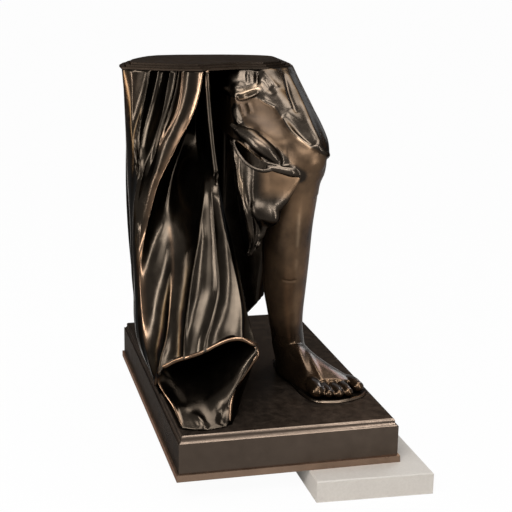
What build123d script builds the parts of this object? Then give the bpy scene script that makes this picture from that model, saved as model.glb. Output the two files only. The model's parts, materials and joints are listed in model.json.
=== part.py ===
from build123d import *
import os
from math import cos, hypot, pi, sin, sqrt

# Figural display plinth: a hollow cast-bronze draped half-figure, cut flat at the top under thin
# cap plates, on a moulded bronze base that stands on two stone risers.
# Millimetres. +Z up, -Y is the front. The origin lies on the floor under the middle of the base.

# ---------------------------------------------------------------- driving dimensions
# risers
riser_height = 39.0
riser_end_overhang = 55.0        # how far the right riser runs past the base, front and back
right_riser_width = 209.0
right_riser_side_overhang = 42.0
right_riser_skew = 9.0           # its front face is sawn a little out of square
left_riser_width = 130.0
left_riser_side_setback = 30.0
left_riser_end_setback = 90.0
riser_arris = 2.0

# base
base_width = 400.0
base_length = 650.0
base_height = 79.0
band_height = 12.0
band_thickness = 4.0
moulding_height = 12.5
moulding_depth = 10.5
base_wall = 10.0
base_top_thickness = 8.0
base_bar_thickness = 8.0
base_bar_depth = 32.0
base_bar_count = 3

# dowels between the risers and the base
dowel_diameter = 12.0
dowel_bite = 22.0                # how deep each end sits
dowel_end_distance = 140.0       # from the end of the base to the dowel
dowel_pad_size = 34.0

# figure
figure_height = 581.0            # from the base's top to the flat cut
casting_wall = 6.0
fold_depth = 0.22                # valley depth as a share of the spacing of two crests
cloth_depth = 0.14               # the same where the cloth lies flatter
side_seam_x = -60.0              # flat seam between the main drape and the hip
rear_seam_y = 100.0              # flat seam between the hip and the rear drape
hip_bottom = 401.0               # seam between the hip and the leg, above the base's top
hip_core_drop = 61.0             # straight top stretch of the hip's core
hip_hem_rise = 62.0              # how far the cloth's hem on the hip climbs to the left
hip_hem_foot_x = 14.0            # where that hem meets the leg
ankle_seam = 74.0                # seam between the leg and the foot, above the base's top
ankle_x = 72.0
ankle_y = -36.0
ankle_half_width = 34.0
ankle_half_depth = 40.0
spigot_height = 6.0              # the foot's spigot inside the leg
spigot_clearance = 3.0
ground_pad_thickness = 5.0
hem_foot_y = -118.0              # where the lifted hem's cut meets the base's top
hem_slope = 0.96                 # rise of that cut towards the front
rear_hem_foot_x = -7.0           # where the rear hem leaves the base's top
rear_hem_slope = 1.15            # its rise towards the right

# cap plates
cap_thickness = 3.5
cap_step = 9.0                   # how far each plate stands back from the one below

# armature
post_size = 40.0
post_wall = 4.0
post_x = -116.0
post_y = 87.0
flange_size = 80.0
head_flange_size = 62.0
flange_thickness = 8.0
arm_size = 12.0                  # square bar
arm_wedge_width = 6.0
arm_wedge_length = 30.0
arm_drop = 36.0                  # the arm's middle below the flat cut
flange_bolt_spacing = 58.0
cap_pin_spacing = 48.0
flange_bolt_diameter = 10.0
cap_pin_diameter = 6.0
tie_rod_diameter = 14.0
seam_key_size = 10.0             # square shank
seam_key_head = 18.0
seam_key_head_thickness = 5.0
clearance = 0.5                  # radial clearance of loose holes
nut_height_ratio = 0.8           # nut or head height as a share of its thread
nut_width_ratio = 1.7            # nut or head width across flats as a share of its thread

# ---------------------------------------------------------------- derived places
base_top = riser_height + base_height
cut_z = base_top + figure_height
fascia_width = base_width - 2 * band_thickness
fascia_length = base_length - 2 * band_thickness
top_width = fascia_width - 2 * moulding_depth
top_length = fascia_length - 2 * moulding_depth
base_under_top = base_top - base_top_thickness

os.makedirs("parts", exist_ok=True)


def save(piece, name):
    """Label a finished piece and write it."""
    piece.part.label = name
    export_step(piece.part, f"parts/{name}.step")


# ---------------------------------------------------------------- risers
right_riser_right = base_width / 2 + right_riser_side_overhang
right_riser_left = right_riser_right - right_riser_width
riser_end = base_length / 2 + riser_end_overhang
right_riser_x = right_riser_right - right_riser_width / 2
left_riser_x = -base_width / 2 + left_riser_side_setback + left_riser_width / 2
left_riser_length = base_length - 2 * left_riser_end_setback
dowel_y = base_length / 2 - dowel_end_distance

with BuildPart() as riser_slab_right:
    with BuildSketch(Plane.XY):
        with BuildLine():
            Polyline(
                (right_riser_left, -riser_end + right_riser_skew),
                (right_riser_right, -riser_end),
                (right_riser_right, riser_end),
                (right_riser_left, riser_end),
                close=True,
            )
        make_face()
    extrude(amount=riser_height)
    chamfer(riser_slab_right.faces().sort_by(Axis.Z)[-1].edges(), riser_arris)
    with Locations((right_riser_x, -dowel_y, riser_height), (right_riser_x, dowel_y, riser_height)):
        Hole(dowel_diameter / 2, depth=dowel_bite)
save(riser_slab_right, "riser_slab_right")

with BuildPart() as riser_slab_left:
    with BuildSketch(Plane.XY):
        with Locations((left_riser_x, 0)):
            Rectangle(left_riser_width, left_riser_length)
    extrude(amount=riser_height)
    chamfer(riser_slab_left.faces().sort_by(Axis.Z)[-1].edges(), riser_arris)
    with Locations((left_riser_x, -dowel_y, riser_height), (left_riser_x, dowel_y, riser_height)):
        Hole(dowel_diameter / 2, depth=dowel_bite)
save(riser_slab_left, "riser_slab_left")

dowel_places = [(x, y) for x in (left_riser_x, right_riser_x) for y in (-dowel_y, dowel_y)]
with BuildPart() as riser_dowels:
    with BuildSketch(Plane.XY.offset(riser_height - dowel_bite)):
        with Locations(*dowel_places):
            Circle(dowel_diameter / 2)
    extrude(amount=2 * dowel_bite)
save(riser_dowels, "riser_dowels")

# ---------------------------------------------------------------- base
core_width = fascia_width - 2 * base_wall
core_length = fascia_length - 2 * base_wall
leg_rod_x = ankle_x
leg_rod_y = ankle_y
bolt_half = flange_bolt_spacing / 2
flange_bolt_places = [(post_x + i * bolt_half, post_y + i * bolt_half) for i in (-1, 1)]
pin_half = cap_pin_spacing / 2
cap_pin_places = [(post_x + i * pin_half, post_y + i * pin_half) for i in (-1, 1)]

with BuildPart() as base_casting:
    with BuildSketch(Plane.XY.offset(riser_height)):
        Rectangle(fascia_width, fascia_length)
    extrude(amount=base_height)
    # edge moulding: cavetto, fillet and ovolo, cut round the upper edge
    with BuildLine(Plane.XY.offset(base_top)) as moulding_path:
        Polyline(
            (-fascia_width / 2, -fascia_length / 2),
            (fascia_width / 2, -fascia_length / 2),
            (fascia_width / 2, fascia_length / 2),
            (-fascia_width / 2, fascia_length / 2),
            close=True,
        )
    with BuildSketch(Plane.YZ) as moulding_profile:
        edge_y = -fascia_length / 2
        low = base_top - moulding_height
        step = moulding_depth * 0.10
        cavetto = moulding_depth * 0.40
        ovolo = moulding_depth - 2 * step - cavetto
        fillet_z = base_top - ovolo - step
        with BuildLine():
            Line((edge_y, low), (edge_y + step, low))
            ThreePointArc(
                (edge_y + step, low),
                (edge_y + step + cavetto * 0.71, low + (fillet_z - low) * 0.29),
                (edge_y + step + cavetto, fillet_z),
            )
            Line((edge_y + step + cavetto, fillet_z), (edge_y + step + cavetto, fillet_z + step))
            ThreePointArc(
                (edge_y + step + cavetto, fillet_z + step),
                (edge_y + step + cavetto + ovolo * 0.29, base_top - ovolo * 0.29),
                (edge_y + 2 * step + cavetto + ovolo - step, base_top),
            )
            Line((edge_y + step + cavetto + ovolo, base_top), (edge_y + step + cavetto + ovolo, base_top + step))
            Line((edge_y + step + cavetto + ovolo, base_top + step), (edge_y - step, base_top + step))
            Line((edge_y - step, base_top + step), (edge_y - step, low))
            Line((edge_y - step, low), (edge_y, low))
        make_face()
    sweep(sections=moulding_profile.sketch, path=moulding_path.line, transition=Transition.RIGHT, mode=Mode.SUBTRACT)
    # hollow underside
    with BuildSketch(Plane.XY.offset(riser_height)):
        Rectangle(core_width, core_length)
    extrude(amount=base_height - base_top_thickness, mode=Mode.SUBTRACT)
    # holes for the armature's bolts and the tie rod
    with BuildSketch(Plane.XY.offset(riser_height)):
        with Locations(*flange_bolt_places):
            Circle(flange_bolt_diameter / 2 + clearance)
        with Locations((leg_rod_x, leg_rod_y)):
            Circle(tie_rod_diameter / 2 + clearance)
    extrude(amount=base_height, mode=Mode.SUBTRACT)
save(base_casting, "base_casting")

# stiffening bars soldered in under the top: three across, and one lengthways in four runs
bar_spacing = core_length / (base_bar_count + 1)
with BuildPart() as base_cross_bars:
    with BuildSketch(Plane.XY.offset(base_under_top - base_bar_depth)):
        with GridLocations(0, bar_spacing, 1, base_bar_count):
            Rectangle(core_width, base_bar_thickness)
    extrude(amount=base_bar_depth)
save(base_cross_bars, "base_cross_bars")

with BuildPart() as base_long_bars:
    with BuildSketch(Plane.XY.offset(base_under_top - base_bar_depth)):
        Rectangle(base_bar_thickness, core_length)
        with GridLocations(0, bar_spacing, 1, base_bar_count):
            Rectangle(core_width, base_bar_thickness, mode=Mode.SUBTRACT)
    extrude(amount=base_bar_depth)
save(base_long_bars, "base_long_bars")

# bearing blocks that carry the base on the risers
with BuildPart() as bearing_blocks:
    with BuildSketch(Plane.XY.offset(riser_height)):
        with Locations(*dowel_places):
            Rectangle(dowel_pad_size, dowel_pad_size)
    extrude(amount=base_height - base_top_thickness)
    with BuildSketch(Plane.XY.offset(riser_height)):
        with Locations(*dowel_places):
            Circle(dowel_diameter / 2)
    extrude(amount=dowel_bite, mode=Mode.SUBTRACT)
    # on a shorter base a cross bar comes over a block, which is notched to let it through
    with BuildSketch(Plane.XY.offset(base_under_top - base_bar_depth)):
        with GridLocations(0, bar_spacing, 1, base_bar_count):
            Rectangle(core_width, base_bar_thickness)
    extrude(amount=base_bar_depth, mode=Mode.SUBTRACT)
save(bearing_blocks, "bearing_blocks")

# mitred bands soldered round the foot of the base
band_plane = Plane.XY.offset(riser_height)
half_w = base_width / 2
half_l = base_length / 2
inner_w = fascia_width / 2
inner_l = fascia_length / 2
band_outlines = {
    "base_band_front": [(-half_w, -half_l), (half_w, -half_l), (inner_w, -inner_l), (-inner_w, -inner_l)],
    "base_band_rear": [(half_w, half_l), (-half_w, half_l), (-inner_w, inner_l), (inner_w, inner_l)],
    "base_band_left": [(-half_w, half_l), (-half_w, -half_l), (-inner_w, -inner_l), (-inner_w, inner_l)],
    "base_band_right": [(half_w, -half_l), (half_w, half_l), (inner_w, inner_l), (inner_w, -inner_l)],
}
for band_name, corners in band_outlines.items():
    with BuildPart() as band:
        with BuildSketch(band_plane):
            with BuildLine():
                Polyline(*corners, close=True)
            make_face()
        extrude(amount=band_height)
    save(band, band_name)

# ---------------------------------------------------------------- cast surfaces
# A fold's crest is given by its place in plan at four heights: at the base's top, at 0.3 and
# at 0.65 of the figure's height, and at the flat cut. The valleys lie between, sunk in.
stations = (0.0, 0.3, 0.65, 1.0)
fold_shares = (0.14, 0.36, 0.64, 0.86)


def crest_at(line, v):
    """Place in plan of one crest at the share v of its height: a cubic through the four stations."""
    x = 0.0
    y = 0.0
    for i, (px, py) in enumerate(line):
        weight = 1.0
        for j, station in enumerate(stations):
            if j != i:
                weight *= (v - station) / (stations[i] - station)
        x += weight * px
        y += weight * py
    return x, y


def sunk(a, b, share, sink):
    """Point at a share of the way from a to b, moved to the left of that direction by sink."""
    run_x = b[0] - a[0]
    run_y = b[1] - a[1]
    span = hypot(run_x, run_y)
    return a[0] + share * run_x - sink * run_y / span, a[1] + share * run_y + sink * run_x / span


def fold_outline(lines, v, depth=fold_depth):
    """Crests with a rounded valley after each, counter-clockwise from the first line to the last."""
    crests = [crest_at(line, v) for line in lines]
    points = [crests[0]]
    for a, b in zip(crests, crests[1:]):
        sink = depth * hypot(b[0] - a[0], b[1] - a[1])
        for share in fold_shares:
            points.append(sunk(a, b, share, sink * sin(pi * share) ** 1.5))
        points.append(b)
    return points


def ring(points, z):
    """Closed outline at one height."""
    return [Vector(x, y, z) for x, y in points]


def oval(x, y, z, half_x, half_y, sides=24):
    """Closed oval outline at one height."""
    turns = [2 * pi * i / sides for i in range(sides)]
    return [Vector(x + half_x * cos(turn), y + half_y * sin(turn), z) for turn in turns]


def chased(rings):
    """Solid inside a skin of flat facets that joins the rings point by point."""
    faces = [Face(Wire.make_polygon(rings[0])), Face(Wire.make_polygon(rings[-1]))]
    for low, high in zip(rings, rings[1:]):
        for i, start in enumerate(low):
            j = (i + 1) % len(low)
            faces.append(Face(Wire.make_polygon([start, low[j], high[j]])))
            faces.append(Face(Wire.make_polygon([start, high[j], high[i]])))
    return Solid(Shell(faces))


def even_shares(count):
    return [i / count for i in range(count + 1)]


def figure_z(v):
    return base_top + v * figure_height


# ---------------------------------------------------------------- main drape
drape_levels = even_shares(10)
main_drape = [
    [(-60, 244), (-60, 246), (-60, 220), (-60, 172)],
    [(-104, 252), (-110, 254), (-112, 222), (-112, 172)],
    [(-148, 238), (-156, 238), (-160, 208), (-158, 162)],
    [(-176, 206), (-192, 202), (-194, 176), (-186, 140)],
    [(-182, 158), (-207, 155), (-218, 136), (-208, 108)],
    [(-184, 98), (-210, 95), (-223, 86), (-228, 72)],
    [(-186, 39), (-214, 35), (-227, 30), (-240, 34)],
    [(-184, -15), (-217, -10), (-228, -18), (-242, -12)],
    [(-183, -62), (-224, -42), (-212, -66), (-196, -32)],
    [(-182, -100), (-228, -68), (-190, -78), (-148, -51)],
    [(-184, -140), (-228, -96), (-166, -74), (-106, -58)],
    [(-216, -326), (-155, -186), (-102, -90), (-95, -52)],
    [(-84, -332), (-92, -250), (-86, -108), (-87, -44)],
    [(-34, -300), (-53, -192), (-79, -88), (-82, -30)],
    [(-42, -190), (-41, -112), (-64, -30), (-70, 18)],
    [(-60, -60), (-60, -30), (-60, 22), (-60, 62)],
]
# corners of the foundry core at four shares of the height
core_levels = (0.0, 0.5, 0.75, 1.0)
seam_core_x = side_seam_x - casting_wall
drape_core = [
    [(seam_core_x, 230), (seam_core_x, 216), (seam_core_x, 190), (seam_core_x, 152)],
    [(-152, 206), (-160, 194), (-158, 170), (-148, 136)],
    [(-167, 100), (-196, 80), (-206, 60), (-210, 60)],
    [(-164, -66), (-188, -42), (-192, -22), (-199, -2)],
    [(-116, -222), (-122, -98), (-118, -32), (-104, -14)],
    [(-96, -150), (-94, -90), (-100, -24), (-98, 4)],
    [(-92, -80), (-84, -30), (-90, 14), (-90, 40)],
    [(seam_core_x, -44), (seam_core_x, 16), (seam_core_x, 60), (seam_core_x, 74)],
]
hem_reach = base_length / 2
arm_z = cut_z - arm_drop
arm_end_x = side_seam_x + casting_wall
seam_key_y = (rear_seam_y + main_drape[0][-1][1]) / 2 - casting_wall
seam_key_zs = [figure_z(0.5), figure_z(0.88)]
with BuildPart() as drape_casting:
    add(chased([ring(fold_outline(main_drape, v), figure_z(v)) for v in drape_levels]))
    core_rings = [ring([corner[i] for corner in drape_core], figure_z(v)) for i, v in enumerate(core_levels)]
    add(chased(core_rings), mode=Mode.SUBTRACT)
    # lifted hem at the front
    with BuildSketch(Plane.YZ):
        with BuildLine():
            Polyline(
                (hem_foot_y, base_top),
                (hem_foot_y - hem_reach, base_top),
                (hem_foot_y - hem_reach, base_top + hem_slope * hem_reach),
                close=True,
            )
        make_face()
    extrude(amount=base_width, both=True, mode=Mode.SUBTRACT)
    # holes in the side seam for the arm and the seam keys
    with BuildSketch(Plane.YZ.offset(seam_core_x)):
        with Locations((post_y, arm_z)):
            Rectangle(arm_size, arm_size)
        with Locations(*[(seam_key_y, z) for z in seam_key_zs]):
            Rectangle(seam_key_size, seam_key_size)
    extrude(amount=casting_wall, mode=Mode.SUBTRACT)
save(drape_casting, "drape_casting")

# cloth gathered on the base under the lifted hem
hem_cloth_height = 100.0
hem_cloth = [
    [(-184, -100), (-188, -100), (-184, -100), (-178, -100)],
    [(-184, -165), (-191, -158), (-182, -168), (-172, -182)],
    [(-172, -222), (-174, -212), (-166, -206), (-154, -206)],
    [(-158, -274), (-152, -244), (-140, -226), (-130, -218)],
    [(-128, -298), (-112, -258), (-108, -236), (-104, -224)],
    [(-88, -288), (-86, -256), (-86, -238), (-86, -226)],
    [(-68, -262), (-66, -250), (-64, -240), (-66, -228)],
    [(-52, -215), (-56, -210), (-58, -206), (-60, -204)],
    [(-52, -100), (-54, -100), (-58, -100), (-60, -100)],
]
hem_plane = Plane(origin=(0, hem_foot_y, base_top), x_dir=(1, 0, 0), z_dir=(0, -hem_slope, -1))
with BuildPart() as hem_casting:
    add(chased([ring(fold_outline(hem_cloth, v, cloth_depth), base_top + v * hem_cloth_height) for v in even_shares(5)]))
    split(bisect_by=hem_plane, keep=Keep.TOP)
save(hem_casting, "hem_casting")

# ---------------------------------------------------------------- rear drape
rear_drape = [
    [(50, 100), (62, 100), (94, 100), (88, 100)],
    [(68, 140), (80, 138), (103, 132), (87, 118)],
    [(64, 190), (84, 178), (102, 166), (78, 138)],
    [(36, 222), (72, 214), (88, 192), (56, 154)],
    [(4, 240), (36, 240), (58, 212), (20, 166)],
    [(-30, 246), (-8, 248), (12, 220), (-20, 172)],
    [(-60, 244), (-60, 246), (-60, 220), (-60, 172)],
]
rear_core_x = side_seam_x + casting_wall
rear_core_y = rear_seam_y + casting_wall
rear_core = [
    [(34, rear_core_y), (58, rear_core_y), (80, rear_core_y), (75, rear_core_y)],
    [(40, 178), (64, 172), (74, 152), (62, 130)],
    [(rear_core_x, 226), (rear_core_x, 216), (rear_core_x, 188), (rear_core_x, 150)],
    [(rear_core_x, rear_core_y), (rear_core_x, rear_core_y), (rear_core_x, rear_core_y), (rear_core_x, rear_core_y)],
]
rear_hem_reach = base_width
hip_key_x = 20.0
with BuildPart() as rear_drape_casting:
    seam_corner = (side_seam_x, rear_seam_y)
    add(chased([ring([*fold_outline(rear_drape, v), seam_corner], figure_z(v)) for v in drape_levels]))
    core_rings = [ring([corner[i] for corner in rear_core], figure_z(v)) for i, v in enumerate(core_levels)]
    add(chased(core_rings), mode=Mode.SUBTRACT)
    split(bisect_by=Plane.XZ.offset(-rear_seam_y), keep=Keep.BOTTOM)
    # hem that leaves the base behind the leg
    with BuildSketch(Plane.XZ):
        with BuildLine():
            Polyline(
                (rear_hem_foot_x, base_top),
                (rear_hem_foot_x + rear_hem_reach, base_top),
                (rear_hem_foot_x + rear_hem_reach, base_top + rear_hem_slope * rear_hem_reach),
                close=True,
            )
        make_face()
    extrude(amount=-base_length, mode=Mode.SUBTRACT)
    with BuildSketch(Plane.YZ.offset(side_seam_x)):
        with Locations(*[(seam_key_y, z) for z in seam_key_zs]):
            Rectangle(seam_key_size, seam_key_size)
    extrude(amount=casting_wall, mode=Mode.SUBTRACT)
    with BuildSketch(Plane.XZ.offset(-rear_seam_y)):
        with Locations((hip_key_x, arm_z)):
            Rectangle(seam_key_size, seam_key_size)
    extrude(amount=-casting_wall, mode=Mode.SUBTRACT)
save(rear_drape_casting, "rear_drape_casting")

# ---------------------------------------------------------------- hip and thigh
hip_z = base_top + hip_bottom
hip_height = cut_z - hip_z
hip_hem_run = hip_hem_foot_x - side_seam_x
hip_cloth = [
    [(-56, -40), (-60, 20), (-60, 60), (-60, 62)],
    [(-60, -118), (-54, -85), (-50, -45), (-46, 5)],
    [(-30, -140), (-38, -112), (-44, -62), (-30, -24)],
    [(0, -150), (-6, -128), (-8, -72), (-6, -30)],
    [(36, -160), (30, -138), (30, -82), (24, -30)],
]
hip_skin = [
    [(36, -160), (30, -138), (30, -82), (24, -30)],
    [(66, -168), (66, -160), (62, -86), (50, -14)],
    [(98, -158), (100, -152), (88, -76), (70, -2)],
    [(112, -120), (118, -110), (99, -50), (77, 10)],
    [(108, -80), (112, -60), (103, 0), (84, 42)],
    [(84, -46), (100, -10), (100, 50), (87, 74)],
    [(40, -36), (70, 40), (94, 100), (88, 100)],
]
hip_rear = [(-20, -36), (-20, 50), (-60, 100), (-60, 100)]
skin_fullness = -0.10            # a skin outline bulges where a fold would sink
hip_core_levels = (hip_z + hip_hem_rise + casting_wall, cut_z - hip_core_drop, cut_z)
hip_core_x = side_seam_x + casting_wall
hip_core_y = rear_seam_y - casting_wall
hip_core = [
    [(-40, 4), (hip_core_x, 80), (hip_core_x, 80)],
    [(-10, -76), (-20, -34), (-18, -2)],
    [(60, -92), (60, -56), (44, -2)],
    [(84, -58), (84, -20), (70, 34)],
    [(60, 20), (78, hip_core_y), (75, hip_core_y)],
    [(-36, 24), (hip_core_x, hip_core_y), (hip_core_x, hip_core_y)],
]


def hip_outline(v):
    """Folded cloth on the left of the thigh, full skin on the right and a straight rear."""
    cloth = fold_outline(hip_cloth, v, cloth_depth)
    skin = fold_outline(hip_skin, v, skin_fullness)
    return [*cloth, *skin[1:], crest_at(hip_rear, v)]


with BuildPart() as hip_casting:
    add(chased([ring(hip_outline(v), hip_z + v * hip_height) for v in even_shares(8)]))
    core_rings = [ring([corner[i] for corner in hip_core], z) for i, z in enumerate(hip_core_levels)]
    add(chased(core_rings), mode=Mode.SUBTRACT)
    split(bisect_by=Plane.YZ.offset(side_seam_x), keep=Keep.TOP)
    split(bisect_by=Plane.XZ.offset(-rear_seam_y), keep=Keep.TOP)
    # cloth's hem, climbing from the leg to the side seam
    with BuildSketch(Plane.XZ):
        with BuildLine():
            Polyline(
                (hip_hem_foot_x, hip_z),
                (hip_hem_foot_x - 2 * hip_hem_run, hip_z + 2 * hip_hem_rise),
                (hip_hem_foot_x - 2 * hip_hem_run, hip_z),
                close=True,
            )
        make_face()
    extrude(amount=base_length, both=True, mode=Mode.SUBTRACT)
    with BuildSketch(Plane.YZ.offset(side_seam_x)):
        with Locations((post_y, arm_z)):
            Rectangle(arm_size, arm_size)
    extrude(amount=casting_wall, mode=Mode.SUBTRACT)
    with BuildSketch(Plane.XZ.offset(-rear_seam_y)):
        with Locations((hip_key_x, arm_z)):
            Rectangle(seam_key_size, seam_key_size)
    extrude(amount=casting_wall, mode=Mode.SUBTRACT)
save(hip_casting, "hip_casting")

# cloth hanging in a point from that hem
swag_depth = 155.0               # below the seam between the hip and the leg
swag_height = swag_depth + hip_hem_rise
swag_lines = [
    [(-40, -140), (-44, -137), (-58, -128), (-58, -96)],
    [(-37, -147), (-33, -152), (-36, -150), (-44, -116)],
    [(-33, -149), (-18, -158), (4, -162), (0, -128)],
    [(-30, -144), (-8, -154), (46, -168), (60, -150)],
]
swag_back = [(-34, -134), (-24, -132), (-10, -114), (-20, -84)]


def swag_z(v):
    return hip_z - swag_depth + v * swag_height


with BuildPart() as swag_casting:
    swag_rings = [ring([*fold_outline(swag_lines, v), crest_at(swag_back, v)], swag_z(v)) for v in even_shares(8)]
    add(chased(swag_rings))
    with BuildSketch(Plane.XZ):
        with BuildLine():
            Polyline(
                (hip_hem_foot_x, hip_z),
                (hip_hem_foot_x - 2 * hip_hem_run, hip_z + 2 * hip_hem_rise),
                (hip_hem_foot_x + 2 * hip_hem_run, hip_z + 2 * hip_hem_rise),
                (hip_hem_foot_x + 2 * hip_hem_run, hip_z),
                close=True,
            )
        make_face()
    extrude(amount=base_length, both=True, mode=Mode.SUBTRACT)
save(swag_casting, "swag_casting")

# ---------------------------------------------------------------- leg and foot
# shin and calf: height above the base's top, centre and half-widths
leg_sections = [
    (ankle_seam, ankle_x, ankle_y, ankle_half_width, ankle_half_depth),
    (100, 68, -42, 34, 40),
    (130, 63, -48, 37, 43),
    (170, 58, -56, 40, 46),
    (230, 55, -68, 44, 51),
    (300, 54, -78, 47, 54),
    (350, 58, -86, 48, 53),
    (hip_bottom, 63, -98, 48, 52),
]
with BuildPart() as leg_casting:
    add(chased([oval(x, y, base_top + h, half_x, half_y) for h, x, y, half_x, half_y in leg_sections]))
    core_rings = []
    for h, x, y, half_x, half_y in leg_sections:
        core_rings.append(oval(x, y, base_top + h, half_x - casting_wall, half_y - casting_wall))
    add(chased(core_rings), mode=Mode.SUBTRACT)
save(leg_casting, "leg_casting")

# foot: front-to-back place, left and right edge, and height above the ground pad
foot_ground = base_top + ground_pad_thickness
foot_sections = [
    (38, 84, 100, 18),
    (26, 66, 110, 42),
    (-8, 56, 112, 60),
    (-48, 46, 114, 66),
    (-85, 47, 122, 58),
    (-115, 55, 140, 46),
    (-150, 63, 164, 33),
    (-178, 72, 172, 22),
]
# toes: centre in plan, half-length, radius and height of the centre
toes = [
    (82, -182, 32, 14, 13),
    (101, -188, 30, 10, 10),
    (119, -192, 30, 10, 10),
    (138, -190, 30, 11, 10.5),
    (164, -166, 32, 12.5, 12),
]
arch_steps = 8


def arch(y, left, right, top):
    """Closed section across the foot: flat sole and a rounded back."""
    middle = (left + right) / 2
    half = (right - left) / 2
    points = []
    for i in range(arch_steps + 1):
        turn = pi * i / arch_steps
        rise = sin(turn) ** 0.7 if 0 < i < arch_steps else 0.0
        points.append(Vector(middle + half * cos(turn), y, foot_ground + top * rise))
    return points


def toe(x, y, half_length, radius, height):
    """Rounded toe lying towards the front."""
    rings = []
    for i in range(1, 8):
        turn = pi * i / 8
        place = y + half_length * cos(turn)
        size = radius * sin(turn) ** 0.8
        turns = [2 * pi * k / 10 for k in range(10)]
        rings.append([Vector(x + size * cos(t), place, foot_ground + height + size * sin(t)) for t in turns])
    return chased(rings)


with BuildPart() as foot_casting:
    add(chased([arch(*section) for section in foot_sections]))
    ankle_top = oval(ankle_x, ankle_y, base_top + ankle_seam, ankle_half_width, ankle_half_depth)
    ankle_bottom = oval(ankle_x + 10, ankle_y + 4, foot_ground + 10, ankle_half_width - 4, ankle_half_depth)
    add(chased([ankle_bottom, ankle_top]))
    for toe_sizes in toes:
        add(toe(*toe_sizes))
    split(bisect_by=Plane.XY.offset(foot_ground), keep=Keep.TOP)
    split(bisect_by=Plane.XY.offset(base_top + ankle_seam), keep=Keep.BOTTOM)
    with BuildSketch(Plane.XY.offset(base_top + ankle_seam)):
        with Locations((ankle_x, ankle_y)):
            Ellipse(
                ankle_half_width - casting_wall - spigot_clearance,
                ankle_half_depth - casting_wall - spigot_clearance,
            )
    extrude(amount=spigot_height)
    with BuildSketch(Plane.XY.offset(foot_ground)):
        with Locations((leg_rod_x, leg_rod_y)):
            Circle(tie_rod_diameter / 2 + clearance)
    extrude(amount=ankle_seam + spigot_height, mode=Mode.SUBTRACT)
save(foot_casting, "foot_casting")

pad_outline = [
    (40, -110), (46, -172), (70, -212), (112, -236), (156, -230), (192, -200),
    (176, -120), (140, -70), (128, 20), (104, 54), (72, 50), (44, 10), (36, -50),
]
with BuildPart() as ground_pad:
    with BuildSketch(Plane.XY.offset(base_top)):
        with BuildLine():
            Polyline(*pad_outline, close=True)
        make_face()
    extrude(amount=ground_pad_thickness)
    chamfer(ground_pad.edges().group_by(Axis.Z)[-1], ground_pad_thickness / 2)
    with BuildSketch(Plane.XY.offset(base_top)):
        with Locations((leg_rod_x, leg_rod_y)):
            Circle(tie_rod_diameter / 2 + clearance)
    extrude(amount=ground_pad_thickness, mode=Mode.SUBTRACT)
save(ground_pad, "ground_pad")

# ---------------------------------------------------------------- cap plates
cap_outline = [crest_at(line, 1.0) for line in main_drape[:12]]
cap_outline += [crest_at(line, 1.0) for line in hip_cloth[2:] + hip_skin[1:]]
cap_outline += [crest_at(line, 1.0) for line in rear_drape[1:-1]]
cap_names = ["cap_plate_lower", "cap_plate_middle", "cap_plate_upper"]
for i, cap_name in enumerate(cap_names):
    with BuildPart() as cap_plate:
        with BuildSketch(Plane.XY.offset(cut_z + i * cap_thickness)):
            with BuildLine():
                Polyline(*cap_outline, close=True)
            make_face()
            if i > 0:
                offset(amount=-i * cap_step, kind=Kind.INTERSECTION)
        extrude(amount=cap_thickness)
        if i == 0:
            with BuildSketch(Plane.XY.offset(cut_z)):
                with Locations(*cap_pin_places):
                    Circle(cap_pin_diameter / 2)
            extrude(amount=cap_thickness, mode=Mode.SUBTRACT)
    save(cap_plate, cap_name)

# ---------------------------------------------------------------- armature and fasteners
flange_top = base_top + flange_thickness
head_flange_z = cut_z - flange_thickness


def nut_height(diameter):
    return diameter * nut_height_ratio


def nut_radius(diameter):
    """Corner radius of a hexagon whose width across flats suits the thread."""
    return diameter * nut_width_ratio / sqrt(3)


with BuildPart() as armature_foot_flange:
    with BuildSketch(Plane.XY.offset(base_top)):
        with Locations((post_x, post_y)):
            Rectangle(flange_size, flange_size)
        with Locations(*flange_bolt_places):
            Circle(flange_bolt_diameter / 2 + clearance, mode=Mode.SUBTRACT)
    extrude(amount=flange_thickness)
save(armature_foot_flange, "armature_foot_flange")

with BuildPart() as armature_head_flange:
    with BuildSketch(Plane.XY.offset(head_flange_z)):
        with Locations((post_x, post_y)):
            Rectangle(head_flange_size, head_flange_size)
        with Locations(*cap_pin_places):
            Circle(cap_pin_diameter / 2, mode=Mode.SUBTRACT)
    extrude(amount=flange_thickness)
save(armature_head_flange, "armature_head_flange")

with BuildPart() as armature_post:
    with BuildSketch(Plane.XY.offset(flange_top)):
        with Locations((post_x, post_y)):
            Rectangle(post_size, post_size)
            Rectangle(post_size - 2 * post_wall, post_size - 2 * post_wall, mode=Mode.SUBTRACT)
    extrude(amount=head_flange_z - flange_top)
    with BuildSketch(Plane.YZ.offset(post_x)):
        with Locations((post_y, arm_z)):
            Rectangle(arm_size, arm_size)
    extrude(amount=post_size, mode=Mode.SUBTRACT)
save(armature_post, "armature_post")

# arm from the post through the side seam, drawn tight by a wedge inside the hip
arm_start_x = post_x + post_size / 2 - post_wall
with BuildPart() as armature_arm:
    with BuildSketch(Plane.YZ.offset(arm_start_x)):
        with Locations((post_y, arm_z)):
            Rectangle(arm_size, arm_size)
    extrude(amount=arm_end_x + 2 * arm_wedge_width - arm_start_x)
    with BuildSketch(Plane.XZ.offset(-post_y)):
        with Locations((arm_end_x + arm_wedge_width / 2, arm_z)):
            Rectangle(arm_wedge_width, arm_size)
    extrude(amount=arm_size / 4, both=True, mode=Mode.SUBTRACT)
save(armature_arm, "armature_arm")

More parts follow.
